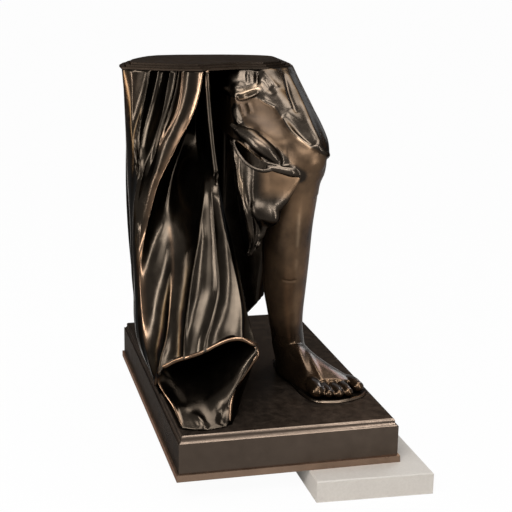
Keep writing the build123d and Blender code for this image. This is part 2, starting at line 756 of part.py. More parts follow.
wedge_top_z = arm_z + arm_wedge_length / 2
with BuildPart() as arm_wedge:
    with BuildSketch(Plane.XZ.offset(-post_y)):
        with BuildLine():
            Polyline(
                (arm_end_x, arm_z - arm_wedge_length / 2),
                (arm_end_x, wedge_top_z),
                (arm_end_x + arm_wedge_width, wedge_top_z),
                (arm_end_x + arm_wedge_width, arm_z - arm_size / 2),
                (arm_end_x + arm_wedge_width / 2, arm_z - arm_wedge_length / 2),
                close=True,
            )
        make_face()
    extrude(amount=arm_size / 4, both=True)
save(arm_wedge, "arm_wedge")

# bolts that clamp the foot flange to the base
flange_bolt_low = base_under_top - 1.5 * nut_height(flange_bolt_diameter)
with BuildPart() as flange_bolts:
    with BuildSketch(Plane.XY.offset(flange_bolt_low)):
        with Locations(*flange_bolt_places):
            Circle(flange_bolt_diameter / 2)
    extrude(amount=flange_top - flange_bolt_low)
    with BuildSketch(Plane.XY.offset(flange_top)):
        with Locations(*flange_bolt_places):
            RegularPolygon(nut_radius(flange_bolt_diameter), 6)
    extrude(amount=nut_height(flange_bolt_diameter))
save(flange_bolts, "flange_bolts")

with BuildPart() as flange_nuts:
    with BuildSketch(Plane.XY.offset(base_under_top)):
        with Locations(*flange_bolt_places):
            RegularPolygon(nut_radius(flange_bolt_diameter), 6)
        with Locations(*flange_bolt_places):
            Circle(flange_bolt_diameter / 2, mode=Mode.SUBTRACT)
    extrude(amount=-nut_height(flange_bolt_diameter))
save(flange_nuts, "flange_nuts")

# pins, filed flush, that hold the lower cap plate to the head flange
with BuildPart() as cap_pins:
    with BuildSketch(Plane.XY.offset(head_flange_z)):
        with Locations(*cap_pin_places):
            Circle(cap_pin_diameter / 2)
    extrude(amount=flange_thickness + cap_thickness)
save(cap_pins, "cap_pins")

# tie rod from under the base up through the ground pad and the foot
rod_low = base_under_top - 1.5 * nut_height(tie_rod_diameter)
rod_seat = base_top + ankle_seam + spigot_height
rod_high = rod_seat + 1.5 * nut_height(tie_rod_diameter)
with BuildPart() as leg_tie_rod:
    with BuildSketch(Plane.XY.offset(rod_low)):
        with Locations((leg_rod_x, leg_rod_y)):
            Circle(tie_rod_diameter / 2)
    extrude(amount=rod_high - rod_low)
save(leg_tie_rod, "leg_tie_rod")

with BuildPart() as tie_rod_nuts:
    with BuildSketch(Plane.XY.offset(base_under_top)):
        with Locations((leg_rod_x, leg_rod_y)):
            RegularPolygon(nut_radius(tie_rod_diameter), 6)
            Circle(tie_rod_diameter / 2, mode=Mode.SUBTRACT)
    extrude(amount=-nut_height(tie_rod_diameter))
    with BuildSketch(Plane.XY.offset(rod_seat)):
        with Locations((leg_rod_x, leg_rod_y)):
            RegularPolygon(nut_radius(tie_rod_diameter), 6)
            Circle(tie_rod_diameter / 2, mode=Mode.SUBTRACT)
    extrude(amount=nut_height(tie_rod_diameter))
save(tie_rod_nuts, "tie_rod_nuts")

# square keys riveted over across the seams: from the main drape to the rear drape, and from there to the hip
side_seats = [Plane(origin=(side_seam_x, seam_key_y, z), x_dir=(0, 1, 0), z_dir=(1, 0, 0)) for z in seam_key_zs]
rear_seat = Plane(origin=(hip_key_x, rear_seam_y, arm_z), x_dir=(1, 0, 0), z_dir=(0, 1, 0))
with BuildPart() as seam_keys:
    for seat in [*side_seats, rear_seat]:
        with BuildSketch(seat.offset(-casting_wall)):
            Rectangle(seam_key_size, seam_key_size)
        extrude(amount=2 * casting_wall)
        with BuildSketch(seat.offset(casting_wall), seat.offset(-casting_wall - seam_key_head_thickness)):
            Rectangle(seam_key_head, seam_key_head)
        extrude(amount=seam_key_head_thickness)
save(seam_keys, "seam_keys")
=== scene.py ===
import bpy
import json
from math import cos, pi, radians, sin
from mathutils import Matrix, Vector, noise
from mathutils.bvhtree import BVHTree
import numpy as np


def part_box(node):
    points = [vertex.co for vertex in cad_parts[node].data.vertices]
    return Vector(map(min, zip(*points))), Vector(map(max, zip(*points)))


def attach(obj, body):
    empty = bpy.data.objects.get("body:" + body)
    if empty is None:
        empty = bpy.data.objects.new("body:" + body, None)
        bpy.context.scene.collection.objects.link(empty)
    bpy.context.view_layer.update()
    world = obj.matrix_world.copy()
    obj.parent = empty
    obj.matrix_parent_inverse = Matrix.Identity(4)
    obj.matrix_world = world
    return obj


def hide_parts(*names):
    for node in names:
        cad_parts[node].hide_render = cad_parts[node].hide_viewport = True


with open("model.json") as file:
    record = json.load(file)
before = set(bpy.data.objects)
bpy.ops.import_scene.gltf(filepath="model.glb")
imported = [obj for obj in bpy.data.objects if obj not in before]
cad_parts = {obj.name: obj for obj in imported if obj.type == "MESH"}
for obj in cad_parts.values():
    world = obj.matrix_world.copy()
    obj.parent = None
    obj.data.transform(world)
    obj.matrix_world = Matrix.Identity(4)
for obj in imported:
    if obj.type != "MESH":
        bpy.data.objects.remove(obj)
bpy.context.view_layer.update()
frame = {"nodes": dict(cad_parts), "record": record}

MM = 0.001
VOXEL_MM = 1.8

# ---------------- places taken from the frame
base_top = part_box("base_casting")[1].z / MM
cut_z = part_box("cap_plate_lower")[0].z / MM
hip_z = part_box("hip_casting")[0].z / MM
figure_height = cut_z - base_top
hip_height = cut_z - hip_z
fine_heights = np.linspace(base_top, cut_z, 401)


# ---------------- mesh helpers
def new_object(name, verts_mm, faces):
    """Smooth-shaded mesh object from millimetre coordinates."""
    mesh = bpy.data.meshes.new(name)
    mesh.from_pydata([(x * MM, y * MM, z * MM) for x, y, z in verts_mm], [], faces)
    mesh.validate()
    piece = bpy.data.objects.new(name, mesh)
    bpy.context.scene.collection.objects.link(piece)
    mesh.polygons.foreach_set("use_smooth", [True] * len(mesh.polygons))
    return piece


def skin_faces(rows, columns, start=0, closed=True):
    """Quads over a grid of rows by columns of vertices."""
    faces = []
    last = columns if closed else columns - 1
    for i in range(rows - 1):
        for j in range(last):
            k = (j + 1) % columns
            a = start + i * columns
            faces.append((a + j, a + k, a + columns + k, a + columns + j))
    return faces


def add_skin(verts, faces, rings):
    """Append a closed skin over the rings, with flat ends."""
    start = len(verts)
    columns = len(rings[0])
    for ring in rings:
        verts.extend(ring)
    faces.extend(skin_faces(len(rings), columns, start))
    last = start + (len(rings) - 1) * columns
    faces.append(tuple(range(start + columns - 1, start - 1, -1)))
    faces.append(tuple(range(last, last + columns)))


def skinned(name, *skins):
    """Object with a closed skin over each set of rings."""
    verts = []
    faces = []
    for rings in skins:
        add_skin(verts, faces, rings)
    return new_object(name, verts, faces)


def spline(points, count):
    """Catmull-Rom curve through points, evenly divided in parameter, as an array."""
    pts = np.array(points, float)
    pts = np.vstack([2 * pts[0] - pts[1], pts, 2 * pts[-1] - pts[-2]])
    out = []
    spans = len(points) - 1
    for i in range(count):
        t = i / (count - 1) * spans
        k = min(int(t), spans - 1)
        t -= k
        a, b, c, d = pts[k:k + 4]
        bend = 2 * a - 5 * b + 4 * c - d
        out.append(0.5 * (2 * b + (c - a) * t + bend * t * t + (3 * b - a - 3 * c + d) * t ** 3))
    return np.array(out)


def around(count):
    """Angles of that many even steps round a circle."""
    return [2 * pi * k / count for k in range(count)]


def tube_rings(points, radii, count, sides, flat=1.0):
    """Rings of a tube along a curve through points, with a radius at each point and an oval section."""
    path = spline(points, count)
    sizes = spline([(r, 0, 0) for r in radii], count)[:, 0]
    rings = []
    for i, centre in enumerate(path):
        ahead = path[min(i + 1, count - 1)] - path[max(i - 1, 0)]
        ahead = ahead / np.linalg.norm(ahead)
        side = np.cross(ahead, (0, 0, 1))
        side /= np.linalg.norm(side)
        over = np.cross(side, ahead)
        size = max(sizes[i], 0.3)
        ring = []
        for turn in around(sides):
            ring.append(tuple(centre + size * (cos(turn) * side + flat * sin(turn) * over)))
        rings.append(ring)
    return rings


def blob_rings(centre, half, turn=0.0):
    """Rings of an ellipsoid, turned about Z."""
    count = 12
    sides = 20
    rings = []
    for i in range(1, count):
        lat = pi * i / count
        ring = []
        for lon in around(sides):
            x = half[0] * sin(lat) * cos(lon)
            y = half[1] * sin(lat) * sin(lon)
            ring.append((
                centre[0] + x * cos(turn) - y * sin(turn),
                centre[1] + x * sin(turn) + y * cos(turn),
                centre[2] - half[2] * cos(lat),
            ))
        rings.append(ring)
    return rings


def modifier_applied(piece):
    """Apply every modifier on the piece."""
    graph = bpy.context.evaluated_depsgraph_get()
    mesh = bpy.data.meshes.new_from_object(piece.evaluated_get(graph))
    piece.modifiers.clear()
    old = piece.data
    piece.data = mesh
    bpy.data.meshes.remove(old)
    mesh.polygons.foreach_set("use_smooth", [True] * len(mesh.polygons))


def thickened(piece, wall_mm):
    """Give a sheet a wall on the side away from its normals."""
    wall = piece.modifiers.new("wall", "SOLIDIFY")
    wall.thickness = wall_mm * MM
    wall.offset = -1
    modifier_applied(piece)


def fused(piece, voxel_mm, smoothing):
    """One skin over overlapping lumps, then smoothed, as wax is."""
    remesh = piece.modifiers.new("clay", "REMESH")
    remesh.mode = "VOXEL"
    remesh.voxel_size = voxel_mm * MM
    smooth = piece.modifiers.new("smooth", "SMOOTH")
    smooth.factor = 0.5
    smooth.iterations = smoothing
    modifier_applied(piece)


def places_of(piece):
    """The vertices' places in millimetres, a row each."""
    places = np.empty(len(piece.data.vertices) * 3)
    piece.data.vertices.foreach_get("co", places)
    return places.reshape(-1, 3) / MM


def put(piece, places):
    """Move the vertices to places in millimetres."""
    piece.data.vertices.foreach_set("co", (places * MM).ravel())
    piece.data.update()


def raised(piece, places, lift):
    """Put the vertices at the places, each moved along its normal by its lift, in millimetres."""
    normals = np.empty(len(places) * 3)
    piece.data.vertices.foreach_get("normal", normals)
    put(piece, places + normals.reshape(-1, 3) * lift[:, None])


def edge_ends(piece):
    """The numbers of the vertices at each edge's two ends."""
    ends = np.empty(len(piece.data.edges) * 2, dtype=int)
    piece.data.edges.foreach_get("vertices", ends)
    return ends.reshape(-1, 2).T


def neighbours_mean(a, b, values):
    """Mean of the neighbours' values at each vertex, over the edges from a to b."""
    count = np.bincount(a, minlength=len(values)) + np.bincount(b, minlength=len(values))
    total = np.bincount(a, values[b], len(values)) + np.bincount(b, values[a], len(values))
    return total / np.maximum(count, 1)


def nearest_on(points, path, weights):
    """Distance from each point to a path, and the weight blended along it."""
    best = np.full(len(points), 1e9)
    blend = np.zeros(len(points))
    for a, b, wa, wb in zip(path, path[1:], weights, weights[1:]):
        run = b - a
        share = np.clip((points - a) @ run / max(run @ run, 1e-9), 0, 1)
        gap = np.linalg.norm(points - (a + share[:, None] * run), axis=1)
        near = gap < best
        best[near] = gap[near]
        blend[near] = (wa + share * (wb - wa))[near]
    return best, blend


def near_stroke(places, points, fading):
    """Distance from each place to a stroke through the points, and the stroke's weight, faded at its ends."""
    path = spline(points, 6 * len(points))
    return nearest_on(places, path, np.sin(np.linspace(0, pi, len(path))) ** fading)


def work(piece, strokes, smoothing=2):
    """Press or raise the surface along strokes: (points, half-width, height), in millimetres."""
    places = places_of(piece)
    lift = np.zeros(len(places))
    for points, width, height in strokes:
        gap, weight = near_stroke(places, points, 0.5)
        lift += height * weight * np.exp(-np.power(gap / width, 2.0))
    a, b = edge_ends(piece)
    for _ in range(smoothing):
        lift = 0.5 * lift + 0.5 * neighbours_mean(a, b, lift)
    raised(piece, places, lift)


def soften(piece, paths, rounds):
    """Smooth the surface near paths: (points, reach), in millimetres."""
    places = places_of(piece)
    weight = np.zeros(len(places))
    for points, reach in paths:
        path = spline(points, 6 * len(points))
        gap = nearest_on(places, path, np.ones(len(path)))[0]
        weight = np.maximum(weight, np.exp(-(gap / reach) ** 2))
    a, b = edge_ends(piece)
    for _ in range(rounds):
        for axis in range(3):
            values = places[:, axis]
            places[:, axis] = values + 0.6 * weight * (neighbours_mean(a, b, values) - values)
    put(piece, places)


def rippled(piece, height, across, along):
    """Slight unevenness of the wax, drawn out along the folds."""
    places = places_of(piece)
    lift = []
    for x, y, z in places:
        broad = noise.noise(Vector((x / across, y / across, z / along)))
        fine = noise.noise(Vector((x / across * 2.3, y / across * 2.3, z / along * 2.1)))
        lift.append(broad + 0.5 * fine)
    raised(piece, places, height * np.array(lift))


# ---------------- folded cloth
# A fold is a crest given at a few heights as (height, x, y), with smooth runs between them.
# Between two crests the cloth sinks into a valley. Stations are shares of the figure's height.
# Many points of the crests and strokes below come, as printed or within a few millimetres, from a scratch
# script that sent places read off the photograph back through the camera.
stations = (0.0, 0.3, 0.65, 1.0)


def through_stations(line):
    """Points (height, x, y) of a crest that is given in plan at the solids' four stations."""
    points = []
    for v in np.linspace(0, 1, 9):
        x = 0.0
        y = 0.0
        for i, (px, py) in enumerate(line):
            weight = 1.0
            for j, station in enumerate(stations):
                if j != i:
                    weight *= (v - station) / (stations[i] - station)
            x += weight * px
            y += weight * py
        points.append((base_top + v * figure_height, x, y))
    return points


def crest_table(points, heights):
    """Places in plan of a crest at the given heights: a smooth run through its points."""
    pts = np.array(points, float)
    z = pts[:, 0]
    before = np.maximum(np.arange(len(z)) - 1, 0)
    after = np.minimum(np.arange(len(z)) + 1, len(z) - 1)
    slopes = (pts[after, 1:] - pts[before, 1:]) / (z[after] - z[before])[:, None]
    out = np.empty((len(heights), 2))
    for row, height in enumerate(np.clip(heights, z[0], z[-1])):
        k = min(int(np.searchsorted(z, height, side="right")) - 1, len(z) - 2)
        span = z[k + 1] - z[k]
        t = (height - z[k]) / span
        out[row] = (
            (2 * t ** 3 - 3 * t * t + 1) * pts[k, 1:] + (t ** 3 - 2 * t * t + t) * span * slopes[k]
            + (3 * t * t - 2 * t ** 3) * pts[k + 1, 1:] + (t ** 3 - t * t) * span * slopes[k + 1]
        )
    return out


def cloth_grid(folds, heights, steps):
    """Grid of places in plan, rows by columns, over folds: (crest, sharpness, valley after it)."""
    tables = [crest_table(crest, heights) for crest, _, _ in folds]
    columns = []
    for (_, sharp, valley), (_, next_sharp, _), a, b in zip(folds, folds[1:], tables, tables[1:]):
        run = b - a
        depth = np.interp(heights, *zip(*valley))
        for k in range(steps):
            share = k / steps
            ease = share - 0.07 * sin(2 * pi * share)
            power = sharp * (1 - share) + next_sharp * share
            sink = depth * sin(pi * share) ** power
            columns.append(a + ease * run + sink[:, None] * np.stack([-run[:, 1], run[:, 0]], axis=1))
    columns.append(tables[-1])
    grid = np.stack(columns, axis=1)
    for _ in range(3):
        grid[:, 1:-1] = 0.25 * grid[:, :-2] + 0.5 * grid[:, 1:-1] + 0.25 * grid[:, 2:]
    return grid


def rows_between(grid, heights, starts, tops, rows):
    """Rows of (x, y, z), evenly spaced in each column between its own start and top."""
    shares = np.linspace(0, 1, rows + 1)
    out = np.empty((rows + 1, grid.shape[1], 3))
    for column, (start, top) in enumerate(zip(starts, tops)):
        zs = start + (top - start) * shares
        for axis in range(2):
            out[:, column, axis] = np.interp(zs, heights, grid[:, column, axis])
        out[:, column, 2] = zs
    return out


def hung_cloth(folds, steps, hem, rows):
    """Rows of cloth from where each column comes clear of the hem line up to the flat cut."""
    grid = cloth_grid(folds, fine_heights, steps)
    starts = []
    for column in range(grid.shape[1]):
        clear = fine_heights >= hem(grid[:, column, 0], grid[:, column, 1])
        starts.append(fine_heights[int(np.argmax(clear))] if clear.any() else fine_heights[-2])
    return rows_between(grid, fine_heights, starts, [cut_z] * len(starts), rows)


# ---------------- main drape
# crests at the rear and on the left, in plan at each station
rear_and_left = [
    [(-60, 244), (-60, 246), (-60, 220), (-60, 172)],
    [(-104, 252), (-110, 254), (-112, 222), (-112, 172)],
    [(-148, 238), (-156, 238), (-160, 208), (-158, 162)],
    [(-176, 206), (-192, 202), (-194, 176), (-186, 140)],
    [(-182, 158), (-207, 155), (-218, 136), (-208, 108)],
    [(-184, 98), (-210, 95), (-223, 86), (-228, 72)],
    [(-186, 39), (-216, 35), (-227, 30), (-238, 34)],
]
outer_band = [
    (118, -186, -18), (205, -221, -12), (292, -224, -8), (394, -226, -4), (496, -232, -2), (597, -236, -6),
    (699, -241, -12),
]
band_edge = [
    (118, -188, -40), (292, -227, -30), (440, -231, -36), (520, -232, -58), (560, -230, -56),
    (597, -230, -46), (650, -227, -38), (699, -224, -30),
]
ridge_1 = [
    (118, -190, -64), (205, -224, -50), (292, -228, -50), (394, -231, -56), (460, -231, -70),
    (510, -227, -86), (540, -227, -84), (572, -226, -74), (597, -222, -65), (631, -212, -56),
    (674, -201, -46), (699, -196, -40),
]
ridge_1_right = [
    (118, -191, -82), (205, -225, -64), (292, -229, -62), (394, -229, -64), (460, -226, -76),
    (505, -221, -86), (538, -212, -82), (562, -200, -73), (600, -185, -63), (631, -175, -57),
    (666, -168, -53), (699, -161, -50),
]
ridge_2 = [
    (118, -192, -96), (205, -224, -76), (292, -228, -70), (394, -226, -70), (460, -219, -76),
    (505, -212, -80), (553, -194, -74), (588, -182, -68), (617, -172, -62), (648, -162, -58),
    (669, -156, -56), (699, -150, -54),
]
ridge_3 = [
    (118, -193, -112), (205, -223, -88), (292, -226, -78), (394, -222, -75), (460, -213, -76),
    (520, -199, -74), (575, -180, -66), (591, -171, -64), (609, -160, -60), (634, -149, -57),
    (666, -143, -56), (699, -140, -55),
]
ridge_4 = [
    (118, -198, -140), (171, -212, -128), (203, -217, -112), (238, -221, -100), (292, -223, -90),
    (346, -223, -84), (392, -216, -80), (445, -203, -77), (499, -187, -74), (525, -174, -71),
    (578, -146, -67), (613, -126, -64), (657, -110, -62), (699, -103, -60),
]
# above their folds, the next three lines carry the floor of the deep recess between ridge 4 and ridge 5
fine_ridge = [
    (118, -222, -260), (198, -211, -194), (242, -194, -172), (288, -181, -142), (336, -169, -112),
    (380, -164, -82), (420, -164, -52), (452, -162, -28), (500, -150, -10), (560, -132, -4),
    (620, -114, -14), (660, -106, -28), (699, -101, -42),
]
ridge_6 = [
    (118, -188, -300), (222, -172, -232), (271, -166, -212), (318, -155, -188), (364, -143, -166),
    (412, -128, -142), (436, -122, -128), (477, -112, -108), (500, -106, -90), (518, -104, -62),
    (540, -104, -26), (600, -105, 0), (650, -101, -18), (699, -99, -38),
]
front_1 = [
    (118, -150, -310), (249, -134, -236), (290, -116, -214), (331, -100, -188), (385, -98, -160),
    (440, -98, -133), (490, -97, -106), (516, -95, -78), (545, -97, -36), (600, -99, -6), (650, -98, -24),
    (699, -97, -40),
]
ridge_5 = [
    (118, -78, -322), (261, -68, -236), (298, -62, -208), (336, -63, -180), (392, -70, -146),
    (451, -79, -121), (519, -85, -97), (579, -89, -79), (648, -93, -61), (699, -95, -53),
]
flap_edge = [
    (118, -40, -316), (239, -42, -242), (290, -49, -196), (345, -54, -160), (400, -60, -120),
    (480, -72, -74), (560, -78, -44), (640, -80, -20), (699, -80, -2),
]
inner_side = [
    (118, -44, -200), (240, -46, -160), (345, -50, -96), (480, -66, -40), (600, -72, 2), (699, -70, 24),
]
side_seam = [(118, -60, -60), (292, -60, -30), (496, -60, 22), (699, -60, 62)]
inner_wall = [(118, -60, 30), (292, -60, 50), (496, -60, 76), (699, -60, 104)]
open_fold = [(118, 0.2), (699, 0.2)]
level = [(118, 0.0), (699, 0.0)]
# each fold's crest, its sharpness, and the depth of the valley after it as a share of the valley's width
front_folds = [
    (outer_band, 1.8, [(118, -0.04), (460, -0.06), (699, -0.08)]),
    (band_edge, 1.2, [(118, 0.06), (460, 0.06), (540, 0.08), (600, 0.12), (699, 0.12)]),
    # the long pocket
    (ridge_1, 1.5, [(118, 0.0), (480, 0.0), (510, 0.04), (535, 0.22), (565, 0.55), (640, 0.70), (699, 0.6)]),
    (ridge_1_right, 1.5, [(118, 0.0), (520, 0.02), (580, 0.16), (699, 0.18)]),
    # the small pocket
    (ridge_2, 1.6, [(118, 0.0), (540, 0.0), (566, 0.10), (600, 0.62), (699, 0.7)]),
    (ridge_3, 1.3, [(118, 0.05), (480, 0.10), (600, 0.16), (699, 0.2)]),
    # into the deep recess and out again
    (ridge_4, 1.5, [(118, 0.20), (260, 0.24), (400, 0.22), (470, 0.10), (560, 0.04), (699, 0.0)]),
    (fine_ridge, 1.0, [(118, 0.10), (260, 0.20), (400, 0.22), (450, 0.10), (500, 0.0), (699, 0.0)]),
    (ridge_6, 1.3, [(118, 0.14), (280, 0.22), (400, 0.22), (480, 0.12), (515, 0.0), (699, 0.0)]),
    (front_1, 1.5, [(118, 0.12), (300, 0.16), (380, 0.14), (440, 0.08), (500, 0.02), (699, 0.0)]),
    (ridge_5, 1.0, [(118, 0.12), (300, 0.14), (480, 0.12), (699, 0.1)]),
    (flap_edge, 1.4, [(118, 0.06), (699, 0.06)]),
    (inner_side, 1.4, [(118, 0.06), (699, 0.06)]),
    (side_seam, 1.0, level),
    (inner_wall, 1.0, level),
]
rear_folds = [(through_stations(line), 0.9, open_fold) for line in rear_and_left]
# where the hem leaves the base, how far it takes to rise, and its heights across the front
hem_foot_y = -118.0
hem_rise_mm = 47.0
hem_xs = [-213, -198, -172, -137, -108, -86, -67, -41]
hem_zs = [184, 201, 222, 236, 250, 259, 255, 239]


def hem_height(x, y):
    """Height of the lifted hem over a place in plan: on the base at the side, in a wave across the front."""
    forward = np.clip((hem_foot_y - y) / hem_rise_mm, 0, 1)
    return base_top + forward * forward * (3 - 2 * forward) * (np.interp(x, hem_xs, hem_zs) - base_top)


fold_steps = 14
closing_fold = (rear_folds[0][0], 1.0, level)
rows = hung_cloth([*rear_folds, *front_folds, closing_fold], fold_steps, hem_height, 170)
drape = new_object("drape_shell", rows.reshape(-1, 3), skin_faces(rows.shape[0], rows.shape[1], closed=False))
thickened(drape, 5)
hem_line = rows[0]
rippled(drape, 0.3, 34.0, 150.0)
work(drape, [
    ([(-168, -190, 318), (-176, -205, 271), (-181, -222, 235), (-185, -232, 212)], 2.2, 2.5),
    # a stepped patch of cloth
    ([(-222, -92, 307), (-209, -110, 314), (-194, -128, 324), (-181, -136, 331)], 4, 3),
    ([(-184, -134, 330), (-184, -142, 305), (-187, -152, 280)], 4, 2.5),
    ([(-184, -164, 300), (-190, -176, 255), (-200, -186, 215)], 2.5, 2),
])
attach(drape, "root")
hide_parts("drape_casting")

# rolled edge along the front hem, from ridge 4 to just past the flap's edge
crests_before_ridge_4 = 13
roll_start = fold_steps * crests_before_ridge_4
roll_end = -52
rolled = np.array(hem_line[roll_start:roll_end:3])
for _ in range(4):
    rolled[1:-1] = 0.25 * rolled[:-2] + 0.5 * rolled[1:-1] + 0.25 * rolled[2:]
# it turns under at the right and runs on down the edge of the gathered cloth
turned_under = [
    (-42, -241, 226), (-52, -240, 210), (-67, -243, 190),
    (-83, -248, 171), (-93, -262, 150), (-100, -284, 124),
]
rolled = [tuple(p) for p in rolled] + turned_under
roll_radii = [3.8] * (len(rolled) - 5) + [3.4, 3.0, 2.6, 2.4, 2.2]
hem_roll = skinned("hem_roll", tube_rings(rolled, roll_radii, 240, 12))
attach(hem_roll, "root")

# ---------------- cloth gathered under the hem
# lines from inside the drape, under the hem, out and down to the base's front
tongue_lines = [
    [(-196, -108, 178), (-207, -165, 168), (-202, -205, 157), (-191, -250, 144), (-183, -288, 120)],
    [(-176, -108, 205), (-184, -170, 180), (-182, -218, 160), (-174, -262, 141), (-168, -294, 119)],
    [(-150, -108, 212), (-156, -176, 184), (-157, -230, 158), (-152, -274, 136), (-148, -300, 119)],
    [(-118, -108, 214), (-122, -180, 188), (-128, -240, 158), (-128, -278, 134), (-126, -296, 119)],
    [(-86, -108, 238), (-84, -184, 224), (-94, -243, 178), (-107, -273, 140), (-108, -292, 119)],
    [(-62, -108, 266), (-48, -186, 262), (-42, -240, 240), (-52, -242, 212), (-82, -248, 172),
     (-100, -284, 120)],
]
tongue_rows = 41
tongue_columns = 61
tongue_sheet = np.array([spline(line, tongue_rows) for line in tongue_lines])
tongue_sheet = np.array([spline(tongue_sheet[:, i], tongue_columns) for i in range(tongue_rows)])
left_feet = spline([(-180, -100, 0), (-182, -160, 0), (-180, -220, 0), (-178, -288, 0)], tongue_rows)
right_feet = spline([(-62, -100, 0), (-58, -170, 0), (-72, -226, 0), (-96, -284, 0)], tongue_rows)
rings = []
for line, left_foot, right_foot in zip(tongue_sheet, left_feet, right_feet):
    left_side = [line[0] + (np.array([*left_foot[:2], base_top]) - line[0]) * k / 6 for k in range(6, 0, -1)]
    right_side = [line[-1] + (np.array([*right_foot[:2], base_top]) - line[-1]) * k / 6 for k in range(1, 7)]
    ring = [*left_side, *line, *right_side]
    under = [ring[-1] + (ring[0] - ring[-1]) * k / 8 for k in range(1, 8)]
    rings.append([tuple(p) for p in (*ring, *under)][::-1])
tongue = skinned("hem_tongue", rings)
tongue_left = [(-207, -165, 168), (-202, -205, 157), (-191, -250, 144), (-184, -284, 122)]
tongue_right = [(-52, -200, 227), (-64, -240, 194), (-82, -246, 170), (-92, -256, 150), (-99, -280, 122)]
work(tongue, [
    (tongue_left, 4, 3),
    (tongue_right, 4, 4),
    ([(-196, -180, 172), (-184, -215, 160), (-176, -250, 146)], 9, -5),
    ([(-160, -270, 142), (-152, -285, 130), (-146, -298, 121)], 8, 5),
    ([(-100, -262, 150), (-112, -280, 132), (-116, -292, 122)], 8, -4),
])
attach(tongue, "root")
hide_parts("hem_casting")

# ---------------- rear drape
rear_lines = [
    [(50, 100), (62, 100), (94, 100), (88, 100)],
    [(68, 140), (80, 138), (103, 132), (87, 118)],
    [(64, 190), (84, 178), (102, 166), (78, 138)],
    [(36, 222), (72, 214), (88, 192), (56, 154)],
    [(4, 240), (36, 240), (58, 212), (20, 166)],
    [(-30, 246), (-8, 248), (12, 220), (-20, 172)],
    [(-60, 244), (-60, 246), (-60, 220), (-60, 172)],
]
rear_seam_y = 100.0
rear_hem_slope = 0.97


def rear_hem_height(x, y):
    """The rear hem leaves the base behind the leg and climbs towards the thigh, with a slight wave."""
    foot_x = -57.0 + 0.59 * (y - rear_seam_y)
    wave = 4.0 * np.sin(x / 9.0 + y / 17.0)
    return base_top + rear_hem_slope * (x - foot_x) + wave


folds = [(through_stations(line), 0.9, open_fold) for line in rear_lines]
rings = []
for row in hung_cloth(folds, 12, rear_hem_height, 120):
    first = row[0]
    last = row[-1]
    # the flat seam in front
    seam = []
    for k in range(1, 8):
        x, _, z = last + (first - last) * (k / 8)
        seam.append((x, rear_seam_y, z))
    rings.append([tuple(p) for p in row] + seam)
rear = skinned("rear_drape_shell", rings)
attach(rear, "root")
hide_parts("rear_drape_casting")

# ---------------- figure: hip, thigh, leg and foot in one skin
figure_skins = []
hip_cloth = [
    [(-56, -40), (-60, 20), (-60, 60), (-60, 62)],
    [(-60, -118), (-54, -85), (-50, -45), (-46, 5)],
    [(-30, -140), (-38, -112), (-44, -62), (-30, -24)],
    [(0, -150), (-6, -128), (-8, -72), (-6, -30)],
    [(36, -160), (30, -138), (30, -82), (24, -30)],
]
hip_skin = [
    [(36, -160), (30, -138), (30, -82), (24, -30)],
    [(66, -168), (66, -160), (62, -86), (50, -14)],
    [(98, -158), (100, -152), (88, -76), (70, -2)],
    [(106, -118), (112, -108), (97, -50), (77, 10)],
    [(104, -80), (108, -60), (102, 0), (84, 42)],
    [(84, -46), (100, -10), (100, 50), (87, 74)],
    [(40, -36), (70, 40), (94, 100), (88, 100)],
]
hip_rear = [(-20, -36), (-20, 50), (-60, 100), (-60, 100)]


def hip_heights(line):
    """The hip's stations run over its own height."""
    return [(hip_z + (z - base_top) / figure_height * hip_height, x, y) for z, x, y in through_stations(line)]


side_hem_x = 22.0
side_hem_slope = 0.84


def hem_on_hip(x):
    """Lower edge of the hip at the left of the thigh, climbing to the side seam."""
    return hip_z + max(0.0, side_hem_x - x) * side_hem_slope


heights = np.linspace(hip_z, cut_z, 61)
shallow = [(hip_z, 0.04), (cut_z, 0.05)]
full = [(hip_z, -0.10), (cut_z, -0.10)]
cloth = cloth_grid([(hip_heights(line), 1.2, shallow) for line in hip_cloth], heights, 10)
bare = cloth_grid([(hip_heights(line), 1.0, full) for line in hip_skin], heights, 10)
back = crest_table(hip_heights(hip_rear), heights)
thigh_middle = np.array([62.0, -100.0])
rings = []
for i, height in enumerate(heights):
    # the cloth is drawn in under the thigh, over the lowest 62 mm
    tuck = 0.72 + 0.28 * min(1.0, (height - hip_z) / 62) ** 0.6
    outline = []
    for place in (*cloth[i], *bare[i][1:], back[i]):
        inward = min(1.0, max(0.0, (place[0] + 10) / 40))
        outline.append(place + (thigh_middle - place) * (1 - tuck) * inward)
    rings.append([(x, y, max(height, hem_on_hip(x))) for x, y in outline])
figure_skins.append(rings)

# horizontal sections from the thigh to the ankle: height, centre, half-widths
leg_rings = [
    (640, 38, -24, 34, 44), (600, 54, -66, 44, 54),
    (562, 64, -97, 49, 58), (543, 65, -103, 49, 58), (522, 64, -104, 47, 55), (500, 60, -98, 45, 52),
    (468, 58, -86, 47, 53), (418, 54, -78, 47, 54), (348, 55, -68, 44, 51), (288, 58, -56, 40, 46),
    (248, 62, -48, 35, 43), (218, 66, -42, 32, 41), (192, 71, -36, 31, 41), (160, 76, -34, 31, 42),
    (135, 80, -30, 28, 40),
]
leg_path = spline([(x, y, z) for z, x, y, _, _ in leg_rings], 140)
leg_halves = spline([(half_x, half_y, 0) for _, _, _, half_x, half_y in leg_rings], 140)
rings = []
knee_z = 480
for centre, halves in zip(leg_path, leg_halves):
    ring = []
    for turn in around(64):
        # the shin is narrower than the calf
        narrow = 1.0 - 0.10 * max(0.0, -sin(turn)) * (centre[2] < knee_z)
        ring.append((centre[0] + halves[0] * narrow * cos(turn), centre[1] + halves[1] * sin(turn), centre[2]))
    rings.append(ring)
figure_skins.append(rings)

